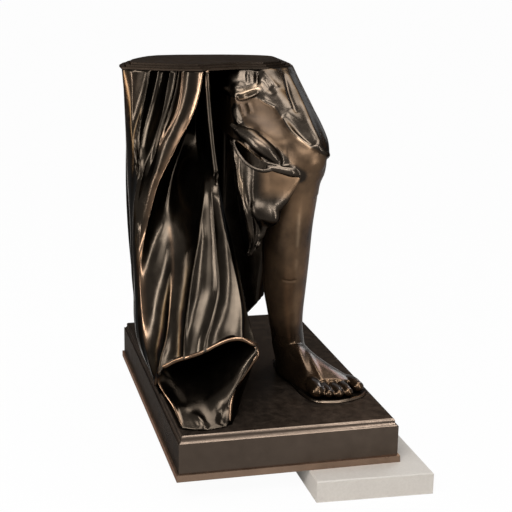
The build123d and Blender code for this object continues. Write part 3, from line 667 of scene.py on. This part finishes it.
# foot: front-to-back place, left and right edge, and height above the ground
foot_ground = base_top + 5
foot_sections = [
    (38, 84, 100, 18), (26, 66, 110, 42), (-8, 56, 112, 60), (-48, 46, 114, 66),
    (-85, 47, 122, 58), (-115, 55, 140, 46), (-150, 63, 164, 33), (-178, 72, 172, 22),
]
foot_curve = spline([(left, right, top) for _, left, right, top in foot_sections], 70)
foot_ys = spline([(y, 0, 0) for y, _, _, _ in foot_sections], 70)[:, 0]
rings = []
for (left, right, top), y in zip(foot_curve, foot_ys):
    ring = []
    middle = (left + right) / 2
    half = (right - left) / 2
    for turn in around(40):
        c = cos(turn)
        s = sin(turn)
        # the instep is highest on the inner side
        lean = 1.0 - 0.18 * c
        rise = top * lean * abs(s) ** 0.85 if s > 0 else -4 * abs(s) ** 0.5
        ring.append((middle + half * float(np.sign(c)) * abs(c) ** 0.85, y, foot_ground + rise))
    rings.append(ring)
figure_skins.append(rings)
# each toe: centre, half-length, radius and height of the centre, and its turn outwards
toes = [
    (82, -182, 32, 14, 13, 0.02), (101, -190, 29, 9.6, 10, 0.04), (119, -193, 29, 9.4, 10, 0.06),
    (137, -190, 28, 9.8, 10, 0.10), (160, -170, 30, 11.5, 11, 0.24),
]
for x, y, half_length, radius, height, outward in toes:
    figure_skins.append(blob_rings((x, y, foot_ground + height), (radius, half_length, radius), outward))
    tip = (x + (half_length - radius) * outward, y - half_length + radius * 1.05, foot_ground + height * 0.82)
    figure_skins.append(blob_rings(tip, (radius * 1.04, radius * 1.1, radius * 0.86)))
    nail = (tip[0], tip[1] - radius * 0.1, tip[2] + radius * 0.62)
    figure_skins.append(blob_rings(nail, (radius * 0.62, radius * 0.72, radius * 0.3)))
# ankle bones and knee cap
for centre, half in (
    ((49, -32, 172), (7, 10, 10)),
    ((101, -20, 166), (8, 11, 12)),
    ((70, -134, 552), (34, 24, 40)),
):
    figure_skins.append(blob_rings(centre, half))
# gathered roll under the thigh, its lower lip, and the belt
roll = [
    (-57, -80, 607), (-43, -100, 596), (-30, -114, 587), (-18, -126, 577), (-4, -135, 566), (10, -141, 555),
    (20, -144, 545),
]
figure_skins.append(tube_rings(roll, [5, 10, 13, 14, 13, 11, 5], 60, 20, 0.9))
lip = [
    (-58, -100, 582), (-55, -117, 567), (-49, -127, 556), (-40, -136, 545), (-26, -145, 537),
    (-12, -148, 534), (0, -147, 536),
]
figure_skins.append(tube_rings(lip, [3, 3.2, 3.4, 3.4, 3.6, 4, 5], 60, 14))
lip_end = [(-6, -142, 542), (8, -147, 537), (22, -150, 534), (38, -153, 531), (52, -153, 525)]
figure_skins.append(tube_rings(lip_end, [4, 7, 8, 9.5, 5], 50, 18))
belt = [(-55, -14, 665), (-38, -36, 655), (-19, -46, 659), (-3, -46, 667), (8, -42, 674)]
figure_skins.append(tube_rings(belt, [4.0, 4.6, 4.6, 4.2, 3], 50, 14))
figure = skinned("figure_leg", *figure_skins)
fused(figure, VOXEL_MM, 5)

# strokes are laid on the figure and the swag along the camera's line of sight
sight = Vector((0.24, 0.94, -0.25)).normalized()


def laid_on(piece, points):
    """The points, moved along the line of sight onto the piece's surface."""
    mesh = piece.data
    tree = BVHTree.FromPolygons([v.co for v in mesh.vertices], [p.vertices[:] for p in mesh.polygons])
    out = []
    for point in points:
        start = Vector(point) * MM - sight * 0.15
        hit = tree.ray_cast(start, sight, 0.4)[0]
        out.append(tuple(hit / MM) if hit else point)
    return out


def worked(piece, strokes, smoothing=2):
    """Work the piece along strokes that are laid on it first: (points, half-width, height)."""
    work(piece, [(laid_on(piece, points), width, height) for points, width, height in strokes], smoothing)


over_roll = [(-40, -96, 606), (-30, -112, 600), (-17, -124, 590), (-3, -134, 577), (12, -142, 563)]
worked(figure, [(over_roll, 11, 5)], 4)
leg_top = [(14, -66, 648), (40, -80, 644), (62, -78, 644), (84, -60, 644)]
crease = [(-44, -98, 606), (-32, -112, 604), (-14, -126, 596), (6, -138, 580), (18, -144, 568)]
above_crease = [(-40, -88, 618), (-24, -102, 612), (-6, -118, 602), (14, -130, 588), (28, -138, 574)]
worked(figure, [(crease, 6, 4), (above_crease, 14, 6)], 6)
belly = [(-50, -20, 700), (-30, -36, 668), (0, -44, 672), (10, -30, 700)]
thigh_front = [(0, -96, 616), (30, -120, 596), (60, -140, 566)]
soften(figure, [(over_roll, 12), (crease, 13), (belly, 14), (leg_top, 16), (thigh_front, 26)], 60)
hanging_fold = [(-47, -58, 634), (-45, -70, 621), (-43, -86, 608)]
worked(figure, [
    # belly cloth over the belt: a broad lump on each side and two pleats
    ([(-50, -20, 702), (-47, -26, 688), (-44, -32, 674)], 9, 5),
    ([(-44, -34, 669), (-34, -36, 669), (-24, -38, 669)], 5, 3),
    ([(-16, -28, 702), (-16, -34, 688), (-16, -39, 673)], 2.6, 3.6),
    ([(-6, -28, 702), (-5, -34, 687), (-5, -39, 673)], 2.6, 3.6),
    ([(4, -27, 702), (3, -34, 686), (2, -42, 672)], 5.0, -7),
    ([(-54, -36, 649), (-33, -46, 649), (-14, -48, 654), (2, -50, 660)], 4.5, -8),
    # folds that hang from the belt
    (hanging_fold, 5, 6),
    ([(-36, -58, 640), (-34, -66, 630), (-31, -74, 618)], 2.6, 3.5),
    ([(-22, -60, 642), (-20, -67, 634), (-18, -74, 624)], 2.6, 3.5),
], 3)
soften(figure, [(belly, 12)], 4)
# the upper cloth: a layer over the thigh above a slanting edge, with a fuller hem
edge_line = np.array([
    (-30, -40, 672), (-9, -48, 658), (-5, -56, 652), (4, -63, 646), (20, -96, 639), (29, -110, 623),
    (34, -121, 610), (40, -131, 599), (49, -141, 590), (58, -149, 584), (68, -157, 576), (79, -159, 572),
    (92, -156, 562), (130, -120, 540),
], float)
across = np.array([cos(0.25), -sin(0.25), 0.0])
upward = np.cross(across, np.array(sight))


def above_edge(places):
    """Distance above the edge's line, seen along the line of sight."""
    line_s = edge_line @ across
    line_u = edge_line @ upward
    return 0.72 * (places @ upward - np.interp(places @ across, line_s, line_u))


places = places_of(figure)
off_edge = above_edge(places)
# the layer is 3 mm thick and fullest just above its edge, and it fades out below the thigh
near_thigh = np.clip((places[:, 2] - 530) / 14, 0, 1) * np.clip((places[:, 0] + 2) / 10, 0, 1)
layer = 3.0 * np.clip(off_edge / 2.6 + 0.5, 0, 1) + 1.6 * np.exp(-((off_edge - 2.8) / 2.8) ** 2)
raised(figure, places, layer * near_thigh)
pocket = [(37, -96, 626), (48, -116, 614), (58, -128, 600), (69, -142, 587), (78, -150, 578)]
strip = [(63, -24, 693), (72, -50, 659), (78, -78, 630), (83, -112, 599), (88, -142, 574), (88, -150, 560)]
groove = [(54, -30, 693), (54, -52, 674), (54, -72, 657), (56, -92, 639), (59, -104, 628)]
patch = [(23, -60, 665), (34, -78, 654), (42, -96, 638)]
soften(figure, [(pocket, 12), (groove, 20), (patch, 16)], 40)
worked(figure, [
    ([(13, -38, 697), (22, -50, 681), (34, -62, 668)], 5, 4),
    ([(10, -44, 684), (18, -56, 668), (28, -66, 656)], 5, -3),
    ([(20, -56, 668), (34, -78, 654), (46, -100, 634)], 13, 4),
    (groove, 2.6, -4),
    (strip, 9, 5),
    (pocket, 9, -8),
], 5)
# creases of the skin, two tendons of the instep, and the shin
worked(figure, [
    ([(36, -112, 322), (50, -116, 320), (64, -116, 323)], 1.8, -2.2),
    ([(64, -80, 168), (72, -84, 160), (80, -86, 160)], 1.8, -1.8),
    ([(82, -66, 182), (80, -100, 164), (80, -145, 142)], 7, 3),
    ([(98, -80, 172), (104, -110, 152), (110, -150, 132)], 5, 2),
    ([(62, -128, 500), (60, -130, 447), (62, -128, 410), (60, -124, 371), (60, -112, 300)], 9.0, 2.5),
])
# how far each place is cloth rather than skin
places = places_of(figure)
off_edge = above_edge(places)
draped = np.clip(off_edge / 2 + 1.0, 0, 1) * (places[:, 2] > 532) * (places[:, 0] > -4)
draped = np.maximum(draped, (places[:, 2] > 650) & (places[:, 0] < 14))
for path, reach_mm in ((roll, 14.0), (lip, 5.0), (lip_end, 11.0), (belt, 6.5), (hanging_fold, 8.0)):
    gap = nearest_on(places, spline(path, 40), np.ones(40))[0]
    draped = np.maximum(draped, np.clip(1.5 - gap / reach_mm, 0, 0.5) * 2)
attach(figure, "root")
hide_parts("hip_casting", "leg_casting", "foot_casting")

# ---------------- swag: a hanging corner of the cloth
swag_low = 378
swag_high = 600
even = [(swag_low, 0.1), (swag_high, 0.1)]
# each fold's crest, its sharpness, and the valley after it
swag_folds = [
    ([(380, -38, -112), (450, -46, -106), (520, -55, -98), (600, -58, -66)],
     1.2, even),
    ([(380, -37, -134), (394, -34, -136), (413, -36, -139), (435, -39, -139), (457, -43, -137),
      (475, -47, -135), (497, -50, -131), (524, -55, -126), (544, -57, -120), (574, -60, -106),
      (600, -60, -88)],
     1.0, even),
    ([(380, -34, -137), (394, -29, -143), (412, -28, -147), (434, -31, -148), (452, -35, -147),
      (468, -40, -143), (490, -44, -138), (530, -48, -132), (590, -44, -110)],
     1.4, [(swag_low, 0.1), (420, 0.35), (450, 0.3), (480, 0.1), (swag_high, 0.05)]),
    ([(380, -31, -136), (400, -23, -140), (416, -17, -144), (434, -12, -148), (448, -18, -151),
      (462, -27, -153), (485, -32, -150), (530, -30, -146), (570, -26, -134)],
     1.2, [(swag_low, 0.1), (430, 0.1), (470, -0.05), (swag_high, 0.0)]),
    ([(380, -29, -136), (400, -18, -140), (413, -12, -145), (430, -7, -149), (441, 2, -155), (455, 6, -160),
      (475, 2, -160), (510, -2, -153), (560, 4, -146)],
     1.2, [(swag_low, 0.1), (430, 0.0), (470, -0.08), (swag_high, 0.02)]),
    ([(380, -27, -135), (397, -19, -141), (413, -11, -143), (430, -4, -145), (441, 9, -148), (458, 18, -153),
      (467, 23, -154), (476, 31, -155), (487, 38, -156), (499, 45, -156), (508, 50, -157), (521, 55, -157),
      (540, 58, -150)],
     1.0, even),
    ([(380, -22, -120), (430, 2, -124), (467, 22, -126), (499, 42, -126), (521, 50, -124), (540, 54, -116)],
     1.2, []),
]
heights = np.linspace(swag_low, swag_high, 120)
grid = cloth_grid(swag_folds, heights, 12)
lip_curve = spline(lip, 80)
tops = []
for column in range(grid.shape[1]):
    # the sheet ends at the lip's height over its place
    rim = np.interp(grid[:, column, 0], lip_curve[:, 0], lip_curve[:, 2])
    over = heights <= rim + 1
    tops.append(heights[over][-1] if over.any() else heights[1])
sheet = rows_between(grid, heights, [heights[0]] * len(tops), tops, 60)
swag = new_object("swag", sheet.reshape(-1, 3), skin_faces(sheet.shape[0], sheet.shape[1], closed=False))
thickened(swag, 4)
swag_left_ridge = [(-52, -118, 567), (-58, -128, 542), (-46, -136, 489), (-37, -140, 448), (-31, -143, 408)]
worked(swag, [
    ([(-36, -150, 474), (-16, -152, 458), (2, -152, 450), (18, -150, 458)], 15, 12),
    (swag_left_ridge, 6, 6),
    ([(-20, -151, 456), (-16, -150, 442), (-11, -148, 424), (-16, -145, 408)], 4, 4),
], 6)
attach(swag, "root")
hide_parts("swag_casting")

# ---------------- ground under the foot
pad_line = spline([
    (47, -60, 0), (52, -130, 0), (60, -192, 0), (78, -224, 0), (106, -233, 0), (140, -228, 0), (172, -212, 0),
    (190, -182, 0), (180, -142, 0), (148, -88, 0), (128, 0, 0), (108, 46, 0), (78, 44, 0), (54, 10, 0),
    (46, -30, 0), (47, -60, 0),
], 161)[:-1]
middle = pad_line.mean(axis=0)
rings = []
for inset, rise in ((5.0, 0.2), (5.6, 2.4), (7.5, 4.2), (10.0, 5.0), (14.0, 4.6), (22.0, 4.4)):
    ring = []
    for point in pad_line:
        inward = (middle - point) / np.linalg.norm(middle - point)
        ring.append((point[0] + inset * inward[0], point[1] + inset * inward[1], base_top + rise))
    rings.append(ring)
ground = skinned("ground_mound", rings)
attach(ground, "root")
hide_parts("ground_pad")


# ---------------- materials
def material(name):
    """New node material with a plain shader."""
    mat = bpy.data.materials.new(name)
    mat.use_nodes = True
    tree = mat.node_tree
    tree.nodes.clear()
    out = tree.nodes.new("ShaderNodeOutputMaterial")
    shader = tree.nodes.new("ShaderNodeBsdfPrincipled")
    tree.links.new(shader.outputs[0], out.inputs["Surface"])
    return mat, tree, shader


def node(tree, kind, inputs=None, **settings):
    """New node with its settings and input values or links."""
    made = tree.nodes.new(kind)
    for key, value in settings.items():
        setattr(made, key, value)
    for key, value in (inputs or {}).items():
        socket = made.inputs[key]
        if isinstance(value, bpy.types.NodeSocket):
            tree.links.new(value, socket)
        else:
            socket.default_value = value
    return made


def ramp(tree, factor, stops):
    """Colour read off stops: (position, colour)."""
    made = node(tree, "ShaderNodeValToRGB", {"Fac": factor})
    elements = made.color_ramp.elements
    while len(elements) < len(stops):
        elements.new(0.5)
    for element, (position, colour) in zip(elements, stops):
        element.position = position
        element.color = (*colour, 1)
    return made.outputs["Color"]


def noise_texture(tree, place, scale, detail=4.0, roughness=0.55):
    settings = {"Vector": place, "Scale": scale, "Detail": detail, "Roughness": roughness}
    return node(tree, "ShaderNodeTexNoise", settings).outputs["Fac"]


def maths(tree, operation, *values):
    return node(tree, "ShaderNodeMath", dict(enumerate(values)), operation=operation).outputs[0]


def mapped(tree, value, low, high, **limits):
    """The value's range, 0 to 1 unless the limits say otherwise, mapped to low to high."""
    settings = {"Value": value, "To Min": low, "To Max": high}
    for key, limit in limits.items():
        settings[key.replace("_", " ").title()] = limit
    return node(tree, "ShaderNodeMapRange", settings).outputs["Result"]


def stored(tree, name):
    """A value that is stored per vertex."""
    return node(tree, "ShaderNodeAttribute", attribute_name=name).outputs["Fac"]


def grained(tree, shader, height, strength, depth):
    """Fine relief on the shader's normal."""
    relief = node(tree, "ShaderNodeBump", {"Height": height, "Strength": strength, "Distance": depth})
    tree.links.new(relief.outputs["Normal"], shader.inputs["Normal"])


def mixed(tree, factor, a, b, blend="MIX"):
    """Two colours or values blended by the factor."""
    made = node(tree, "ShaderNodeMix", data_type="RGBA", blend_type=blend)
    for socket, value in ((made.inputs[0], factor), (made.inputs[6], a), (made.inputs[7], b)):
        if isinstance(value, bpy.types.NodeSocket):
            tree.links.new(value, socket)
        elif isinstance(value, tuple):
            socket.default_value = (*value, 1)
        else:
            socket.default_value = value
    return made.outputs[2]


def bronze(name, dark, warm, worn_and_sheen, rough, wear_between, metallic, edge_tint, bump, cloth=None):
    """Patinated bronze: two browns mottled, copper wear on the high edges, waxed; recesses darkened as painted
    shade, and copper streaks that partly paint highlights.
    """
    mat, tree, shader = material(name)
    place = node(tree, "ShaderNodeTexCoord").outputs["Object"]
    broad = noise_texture(tree, place, 7.0, 3.0)
    fine = noise_texture(tree, place, 60.0, 5.0, 0.6)
    blotches = noise_texture(tree, place, 19.0, 4.0, 0.6)
    cloud = mixed(tree, 0.45, broad, blotches)
    patina = ramp(tree, cloud, [(0.38, dark), (0.62, warm)])
    veil = stored(tree, "draped")
    if cloth:
        patina = mixed(tree, veil, patina, ramp(tree, cloud, [(0.38, cloth[0]), (0.62, cloth[1])]))
    edge = node(tree, "ShaderNodeNewGeometry").outputs["Pointiness"]
    ragged = maths(tree, "MULTIPLY", broad, 0.05)
    high = maths(tree, "ADD", edge, ragged)
    wear = mapped(tree, high, 0.0, 1.0, from_min=wear_between[0], from_max=wear_between[1])
    colour = mixed(tree, wear, patina, worn_and_sheen)
    # copper along stored strokes: wear, and on some strokes a painted highlight
    rubbed_and_sheen = stored(tree, "rubbed_and_sheen")
    patchy = mapped(tree, fine, 0.55, 1.0, from_min=0.3, from_max=0.6)
    colour = mixed(tree, maths(tree, "MULTIPLY", rubbed_and_sheen, patchy), colour, worn_and_sheen)
    # painted shade: ambient occlusion darkens the colour in recesses and hollows, where shade falls
    open_sky = node(tree, "ShaderNodeAmbientOcclusion", {"Distance": 0.09}, samples=6).outputs["AO"]
    painted_recess_shade = mapped(tree, open_sky, 0.15, 1.0, from_min=0.08, from_max=0.5)
    colour = mixed(tree, 1.0, colour, painted_recess_shade, "MULTIPLY")
    waxy = mapped(tree, fine, rough[0], rough[1], from_min=0.3, from_max=0.7)
    roughness = maths(tree, "MULTIPLY_ADD", stored(tree, "waxed"), -0.17, waxy)
    # colour made darker where the stored value is high: towards the foot, high on the thigh, and over the swag
    deepened = mapped(tree, stored(tree, "darkened"), 1.0, 0.2)
    colour = mixed(tree, 1.0, colour, deepened, "MULTIPLY")
    tree.links.new(colour, shader.inputs["Base Color"])
    tree.links.new(roughness, shader.inputs["Roughness"])
    shader.inputs["Metallic"].default_value = metallic
    if cloth:
        tree.links.new(mapped(tree, veil, metallic, 0.95), shader.inputs["Metallic"])
        tree.links.new(maths(tree, "MULTIPLY_ADD", veil, -0.12, roughness), shader.inputs["Roughness"])
    shader.inputs["Specular Tint"].default_value = (*edge_tint, 1)
    grained(tree, shader, noise_texture(tree, place, 200.0, 3.0), bump, 0.0003)
    return mat


drape_bronze = bronze(
    "drape_bronze", dark=(0.007, 0.0056, 0.0043), warm=(0.020, 0.0157, 0.0118), worn_and_sheen=(0.19, 0.115, 0.07),
    rough=(0.16, 0.25), wear_between=(0.63, 0.77), metallic=0.95, edge_tint=(0.14, 0.115, 0.09), bump=0.2,
)
skin_bronze = bronze(
    "skin_bronze", dark=(0.034, 0.022, 0.014), warm=(0.122, 0.075, 0.043), worn_and_sheen=(0.20, 0.14, 0.09),
    rough=(0.33, 0.44), wear_between=(0.64, 0.80), metallic=0.66, edge_tint=(0.2, 0.15, 0.11), bump=0.25,
    cloth=((0.010, 0.008, 0.0062), (0.034, 0.027, 0.021)),
)
base_bronze = bronze(
    "base_bronze", dark=(0.040, 0.030, 0.023), warm=(0.058, 0.044, 0.034), worn_and_sheen=(0.064, 0.048, 0.037),
    rough=(0.29, 0.40), wear_between=(0.58, 0.68), metallic=0.96, edge_tint=(0.07, 0.06, 0.05), bump=0.15,
)
# painted shade and highlight: the mound's patina is kept very dark so it sinks into the shade round the foot,
# and the pale colour on its high edges is wear that also paints the rim's highlight
ground_bronze = bronze(
    "ground_bronze", dark=(0.016, 0.012, 0.009), warm=(0.035, 0.026, 0.019), worn_and_sheen=(0.20, 0.15, 0.11),
    rough=(0.25, 0.35), wear_between=(0.56, 0.66), metallic=0.96, edge_tint=(0.07, 0.06, 0.05), bump=0.4,
)
band_bronze = bronze(
    "band_bronze", dark=(0.085, 0.056, 0.042), warm=(0.12, 0.078, 0.058), worn_and_sheen=(0.15, 0.10, 0.07),
    rough=(0.36, 0.48), wear_between=(0.58, 0.68), metallic=0.92, edge_tint=(0.3, 0.22, 0.18), bump=0.15,
)
cap_bronze = bronze(
    "cap_bronze", dark=(0.006, 0.005, 0.004), warm=(0.012, 0.009, 0.007), worn_and_sheen=(0.02, 0.014, 0.01),
    rough=(0.45, 0.6), wear_between=(0.58, 0.68), metallic=1.0, edge_tint=(0.02, 0.016, 0.012), bump=0.25,
)


def stone():
    """Honed pale limestone."""
    mat, tree, shader = material("pale_limestone")
    place = node(tree, "ShaderNodeTexCoord").outputs["Object"]
    cloud = noise_texture(tree, place, 6.0, 4.0)
    speck = noise_texture(tree, place, 220.0, 3.0)
    colour = ramp(tree, cloud, [(0.3, (0.50, 0.455, 0.405)), (0.7, (0.56, 0.515, 0.46))])
    speckled = ramp(tree, speck, [(0.4, (0.42, 0.38, 0.33)), (0.6, (0.64, 0.60, 0.55))])
    tree.links.new(mixed(tree, 0.12, colour, speckled), shader.inputs["Base Color"])
    shader.inputs["Roughness"].default_value = 0.75
    grained(tree, shader, speck, 0.15, 0.0005)
    return mat


def steel():
    """Plain drawn steel."""
    mat, tree, shader = material("armature_steel")
    drawn = noise_texture(tree, node(tree, "ShaderNodeTexCoord").outputs["Object"], 90.0, 4.0)
    colour = ramp(tree, drawn, [(0.35, (0.30, 0.29, 0.28)), (0.65, (0.42, 0.41, 0.40))])
    tree.links.new(colour, shader.inputs["Base Color"])
    shader.inputs["Metallic"].default_value = 0.9
    tree.links.new(mapped(tree, drawn, 0.35, 0.55), shader.inputs["Roughness"])
    return mat


by_slot = {
    "bronze": drape_bronze, "skin_bronze": skin_bronze, "base_bronze": base_bronze, "band_bronze": band_bronze,
    "cap": cap_bronze, "stone": stone(), "steel": steel(),
}
node_slots = {part["node"]: part["material_slot"] for part in frame["record"]["subparts"]}
for name, cad in frame["nodes"].items():
    for slot in cad.material_slots:
        slot.material = by_slot[node_slots[name]]
for piece, mat in (
    (drape, drape_bronze), (hem_roll, drape_bronze), (tongue, drape_bronze), (rear, drape_bronze),
    (swag, skin_bronze), (figure, skin_bronze), (ground, ground_bronze),
):
    piece.data.materials.clear()
    piece.data.materials.append(mat)


def marked(piece, name, values):
    """Store a value per vertex for the material to read."""
    piece.data.attributes.new(name, "FLOAT", "POINT").data.foreach_set("value", values)


def rub_and_sheen(piece, strokes):
    """How far the patina shows copper along strokes: real wear, and on some strokes a painted highlight:
    (points, half-width, share).
    """
    places = places_of(piece)
    worn_and_sheen = np.zeros(len(places))
    for points, width, share in strokes:
        gap, weight = near_stroke(places, points, 0.3)
        worn_and_sheen = np.maximum(worn_and_sheen, share * weight * np.exp(-(gap / width) ** 2))
    marked(piece, "rubbed_and_sheen", worn_and_sheen)


def run_of(crest, low, high):
    """Points of a crest between two heights."""
    heights = np.linspace(low, high, 12)
    return [(x, y, z) for (x, y), z in zip(crest_table(crest, heights), heights)]


rub_and_sheen(drape, [
    (run_of(ridge_4, 430, 699), 8, 0.6),
    (run_of(ridge_4, 200, 440), 7, 0.45),
    (run_of(outer_band, 130, 699), 22, 0.4),
    (run_of(fine_ridge, 190, 420), 2.5, 0.25),
    (run_of(ridge_3, 560, 699), 6, 0.3),
])
# the foot and ankle are waxed and dark, and the cloth's neighbours high on the thigh are dark too
ankle_z = 225
levels = places_of(figure)[:, 2]
marked(figure, "draped", draped)
marked(figure, "waxed", np.clip((ankle_z - levels) / 50, 0, 1))
low_share = np.clip((ankle_z - levels) / 60, 0, 0.85)
high_share = np.clip((levels - 535) / 45, 0, 0.9)
marked(figure, "darkened", np.maximum(low_share, high_share * (1 - draped)))
places = places_of(swag)
marked(swag, "draped", 1 - np.clip((places[:, 2] - 482) / 20, 0, 1) * np.clip((places[:, 0] + 24) / 14, 0, 1))
marked(swag, "darkened", np.full(len(places), 0.25))
# painted highlight: a light copper streak along the swag's left ridge stands in for its highlight
rub_and_sheen(swag, [(swag_left_ridge, 5, 0.3)])
rub_and_sheen(figure, [
    (belt, 6, 0.45),
    # painted highlight: the next two strokes paint a light copper streak down the shin in place of its
    # highlight
    ([(57, -138, 455), (58, -133, 420), (59, -128, 385)], 3, 0.6),
    ([(60, -124, 365), (60, -118, 340)], 3, 0.3),
    ([(34, -121, 610), (49, -141, 590), (68, -157, 576)], 2.5, 0.4),
])
rub_and_sheen(hem_roll, [(rolled[:: max(1, len(rolled) // 20)], 6, 0.7)])
rub_and_sheen(tongue, [(tongue_left, 3, 0.5), (tongue_right, 4, 0.7)])

# ---------------- stage, lights and camera
floor_mesh = bpy.data.meshes.new("studio_floor")
reach = 30.0
corners = [(-reach, -reach, 0), (reach, -reach, 0), (reach, reach, 0), (-reach, reach, 0)]
floor_mesh.from_pydata(corners, [], [(0, 1, 2, 3)])
floor = bpy.data.objects.new("studio_floor", floor_mesh)
bpy.context.scene.collection.objects.link(floor)


def shown_to(tree):
    """1 for what the camera, a reflection or a view through glass sees, else 0."""
    rays = node(tree, "ShaderNodeLightPath")
    seen = maths(tree, "MAXIMUM", rays.outputs["Is Camera Ray"], rays.outputs["Is Glossy Ray"])
    return maths(tree, "MAXIMUM", seen, rays.outputs["Is Transmission Ray"])


mat, tree, shader = material("studio_floor")
tint = noise_texture(tree, node(tree, "ShaderNodeTexCoord").outputs["Object"], 2.0)
colour = ramp(tree, tint, [(0.4, (0.86, 0.86, 0.86)), (0.6, (0.88, 0.88, 0.88))])
tree.links.new(colour, shader.inputs["Base Color"])
shader.inputs["Roughness"].default_value = 0.9
glow = node(tree, "ShaderNodeEmission", {"Color": (1, 1, 1, 1), "Strength": 1.0})
share = maths(tree, "MULTIPLY", shown_to(tree), 0.96)
blend = node(tree, "ShaderNodeMixShader", {0: share, 1: shader.outputs[0], 2: glow.outputs[0]})
tree.links.new(blend.outputs[0], tree.nodes["Material Output"].inputs["Surface"])
floor.data.materials.append(mat)

world = bpy.data.worlds.new("studio")
bpy.context.scene.world = world
world.use_nodes = True
tree = world.node_tree
background = tree.nodes["Background"]
tree.links.new(mapped(tree, shown_to(tree), 0.55, 1.0), background.inputs["Strength"])
background.inputs["Color"].default_value = (1, 1, 1, 1)


def softbox(name, place, width, height, watts):
    """Area light that faces the figure's middle and stays out of the camera's view."""
    light = bpy.data.lights.new(name, "AREA")
    light.shape = "RECTANGLE"
    light.size = width
    light.size_y = height
    light.energy = watts
    lamp = bpy.data.objects.new(name, light)
    bpy.context.scene.collection.objects.link(lamp)
    lamp.location = place
    lamp.rotation_euler = (Vector((0, 0, 0.35)) - Vector(place)).to_track_quat("-Z", "Y").to_euler()
    lamp.visible_camera = False
    return lamp


softbox("key", (-1.1, -1.7, 2.0), 1.2, 1.2, 38)
# cards that only the polish shows
for name, place, width, height, watts in (
    ("left_card", (-1.45, -0.75, 0.62), 0.18, 1.2, 38),
    ("left_rear_card", (-1.6, 0.55, 0.75), 0.30, 1.2, 42),
    ("right_card", (0.75, -1.55, 0.85), 0.13, 1.7, 40),
    ("right_rear_card", (1.3, 1.0, 1.25), 0.5, 0.9, 22),
    ("high_card", (-0.35, -1.12, 1.68), 1.1, 0.6, 50),
    ("top_card", (0.42, -0.08, 1.95), 1.25, 1.05, 74),
):
    softbox(name, place, width, height, watts).visible_diffuse = False

# the camera's direction and its slight roll
yaw = radians(14.59)
pitch = radians(14.71)
roll_angle = radians(1.08)
ahead = Vector((sin(yaw) * cos(pitch), cos(yaw) * cos(pitch), -sin(pitch)))
side = Vector((cos(yaw), -sin(yaw), 0))
over = side.cross(ahead)
side_rolled = side * cos(roll_angle) + over * sin(roll_angle)
over_rolled = over * cos(roll_angle) - side * sin(roll_angle)
camera_data = bpy.data.cameras.new("camera")
camera_data.sensor_width = 36
camera_data.lens = 82.59
camera_data.clip_end = 100
camera = bpy.data.objects.new("camera", camera_data)
bpy.context.scene.collection.objects.link(camera)
turn = Matrix((side_rolled, over_rolled, -ahead)).transposed().to_4x4()
turn.translation = Vector((-0.5351, -2.1132, 0.9129))
camera.matrix_world = turn
bpy.context.scene.camera = camera
bpy.context.scene.view_settings.view_transform = "Standard"
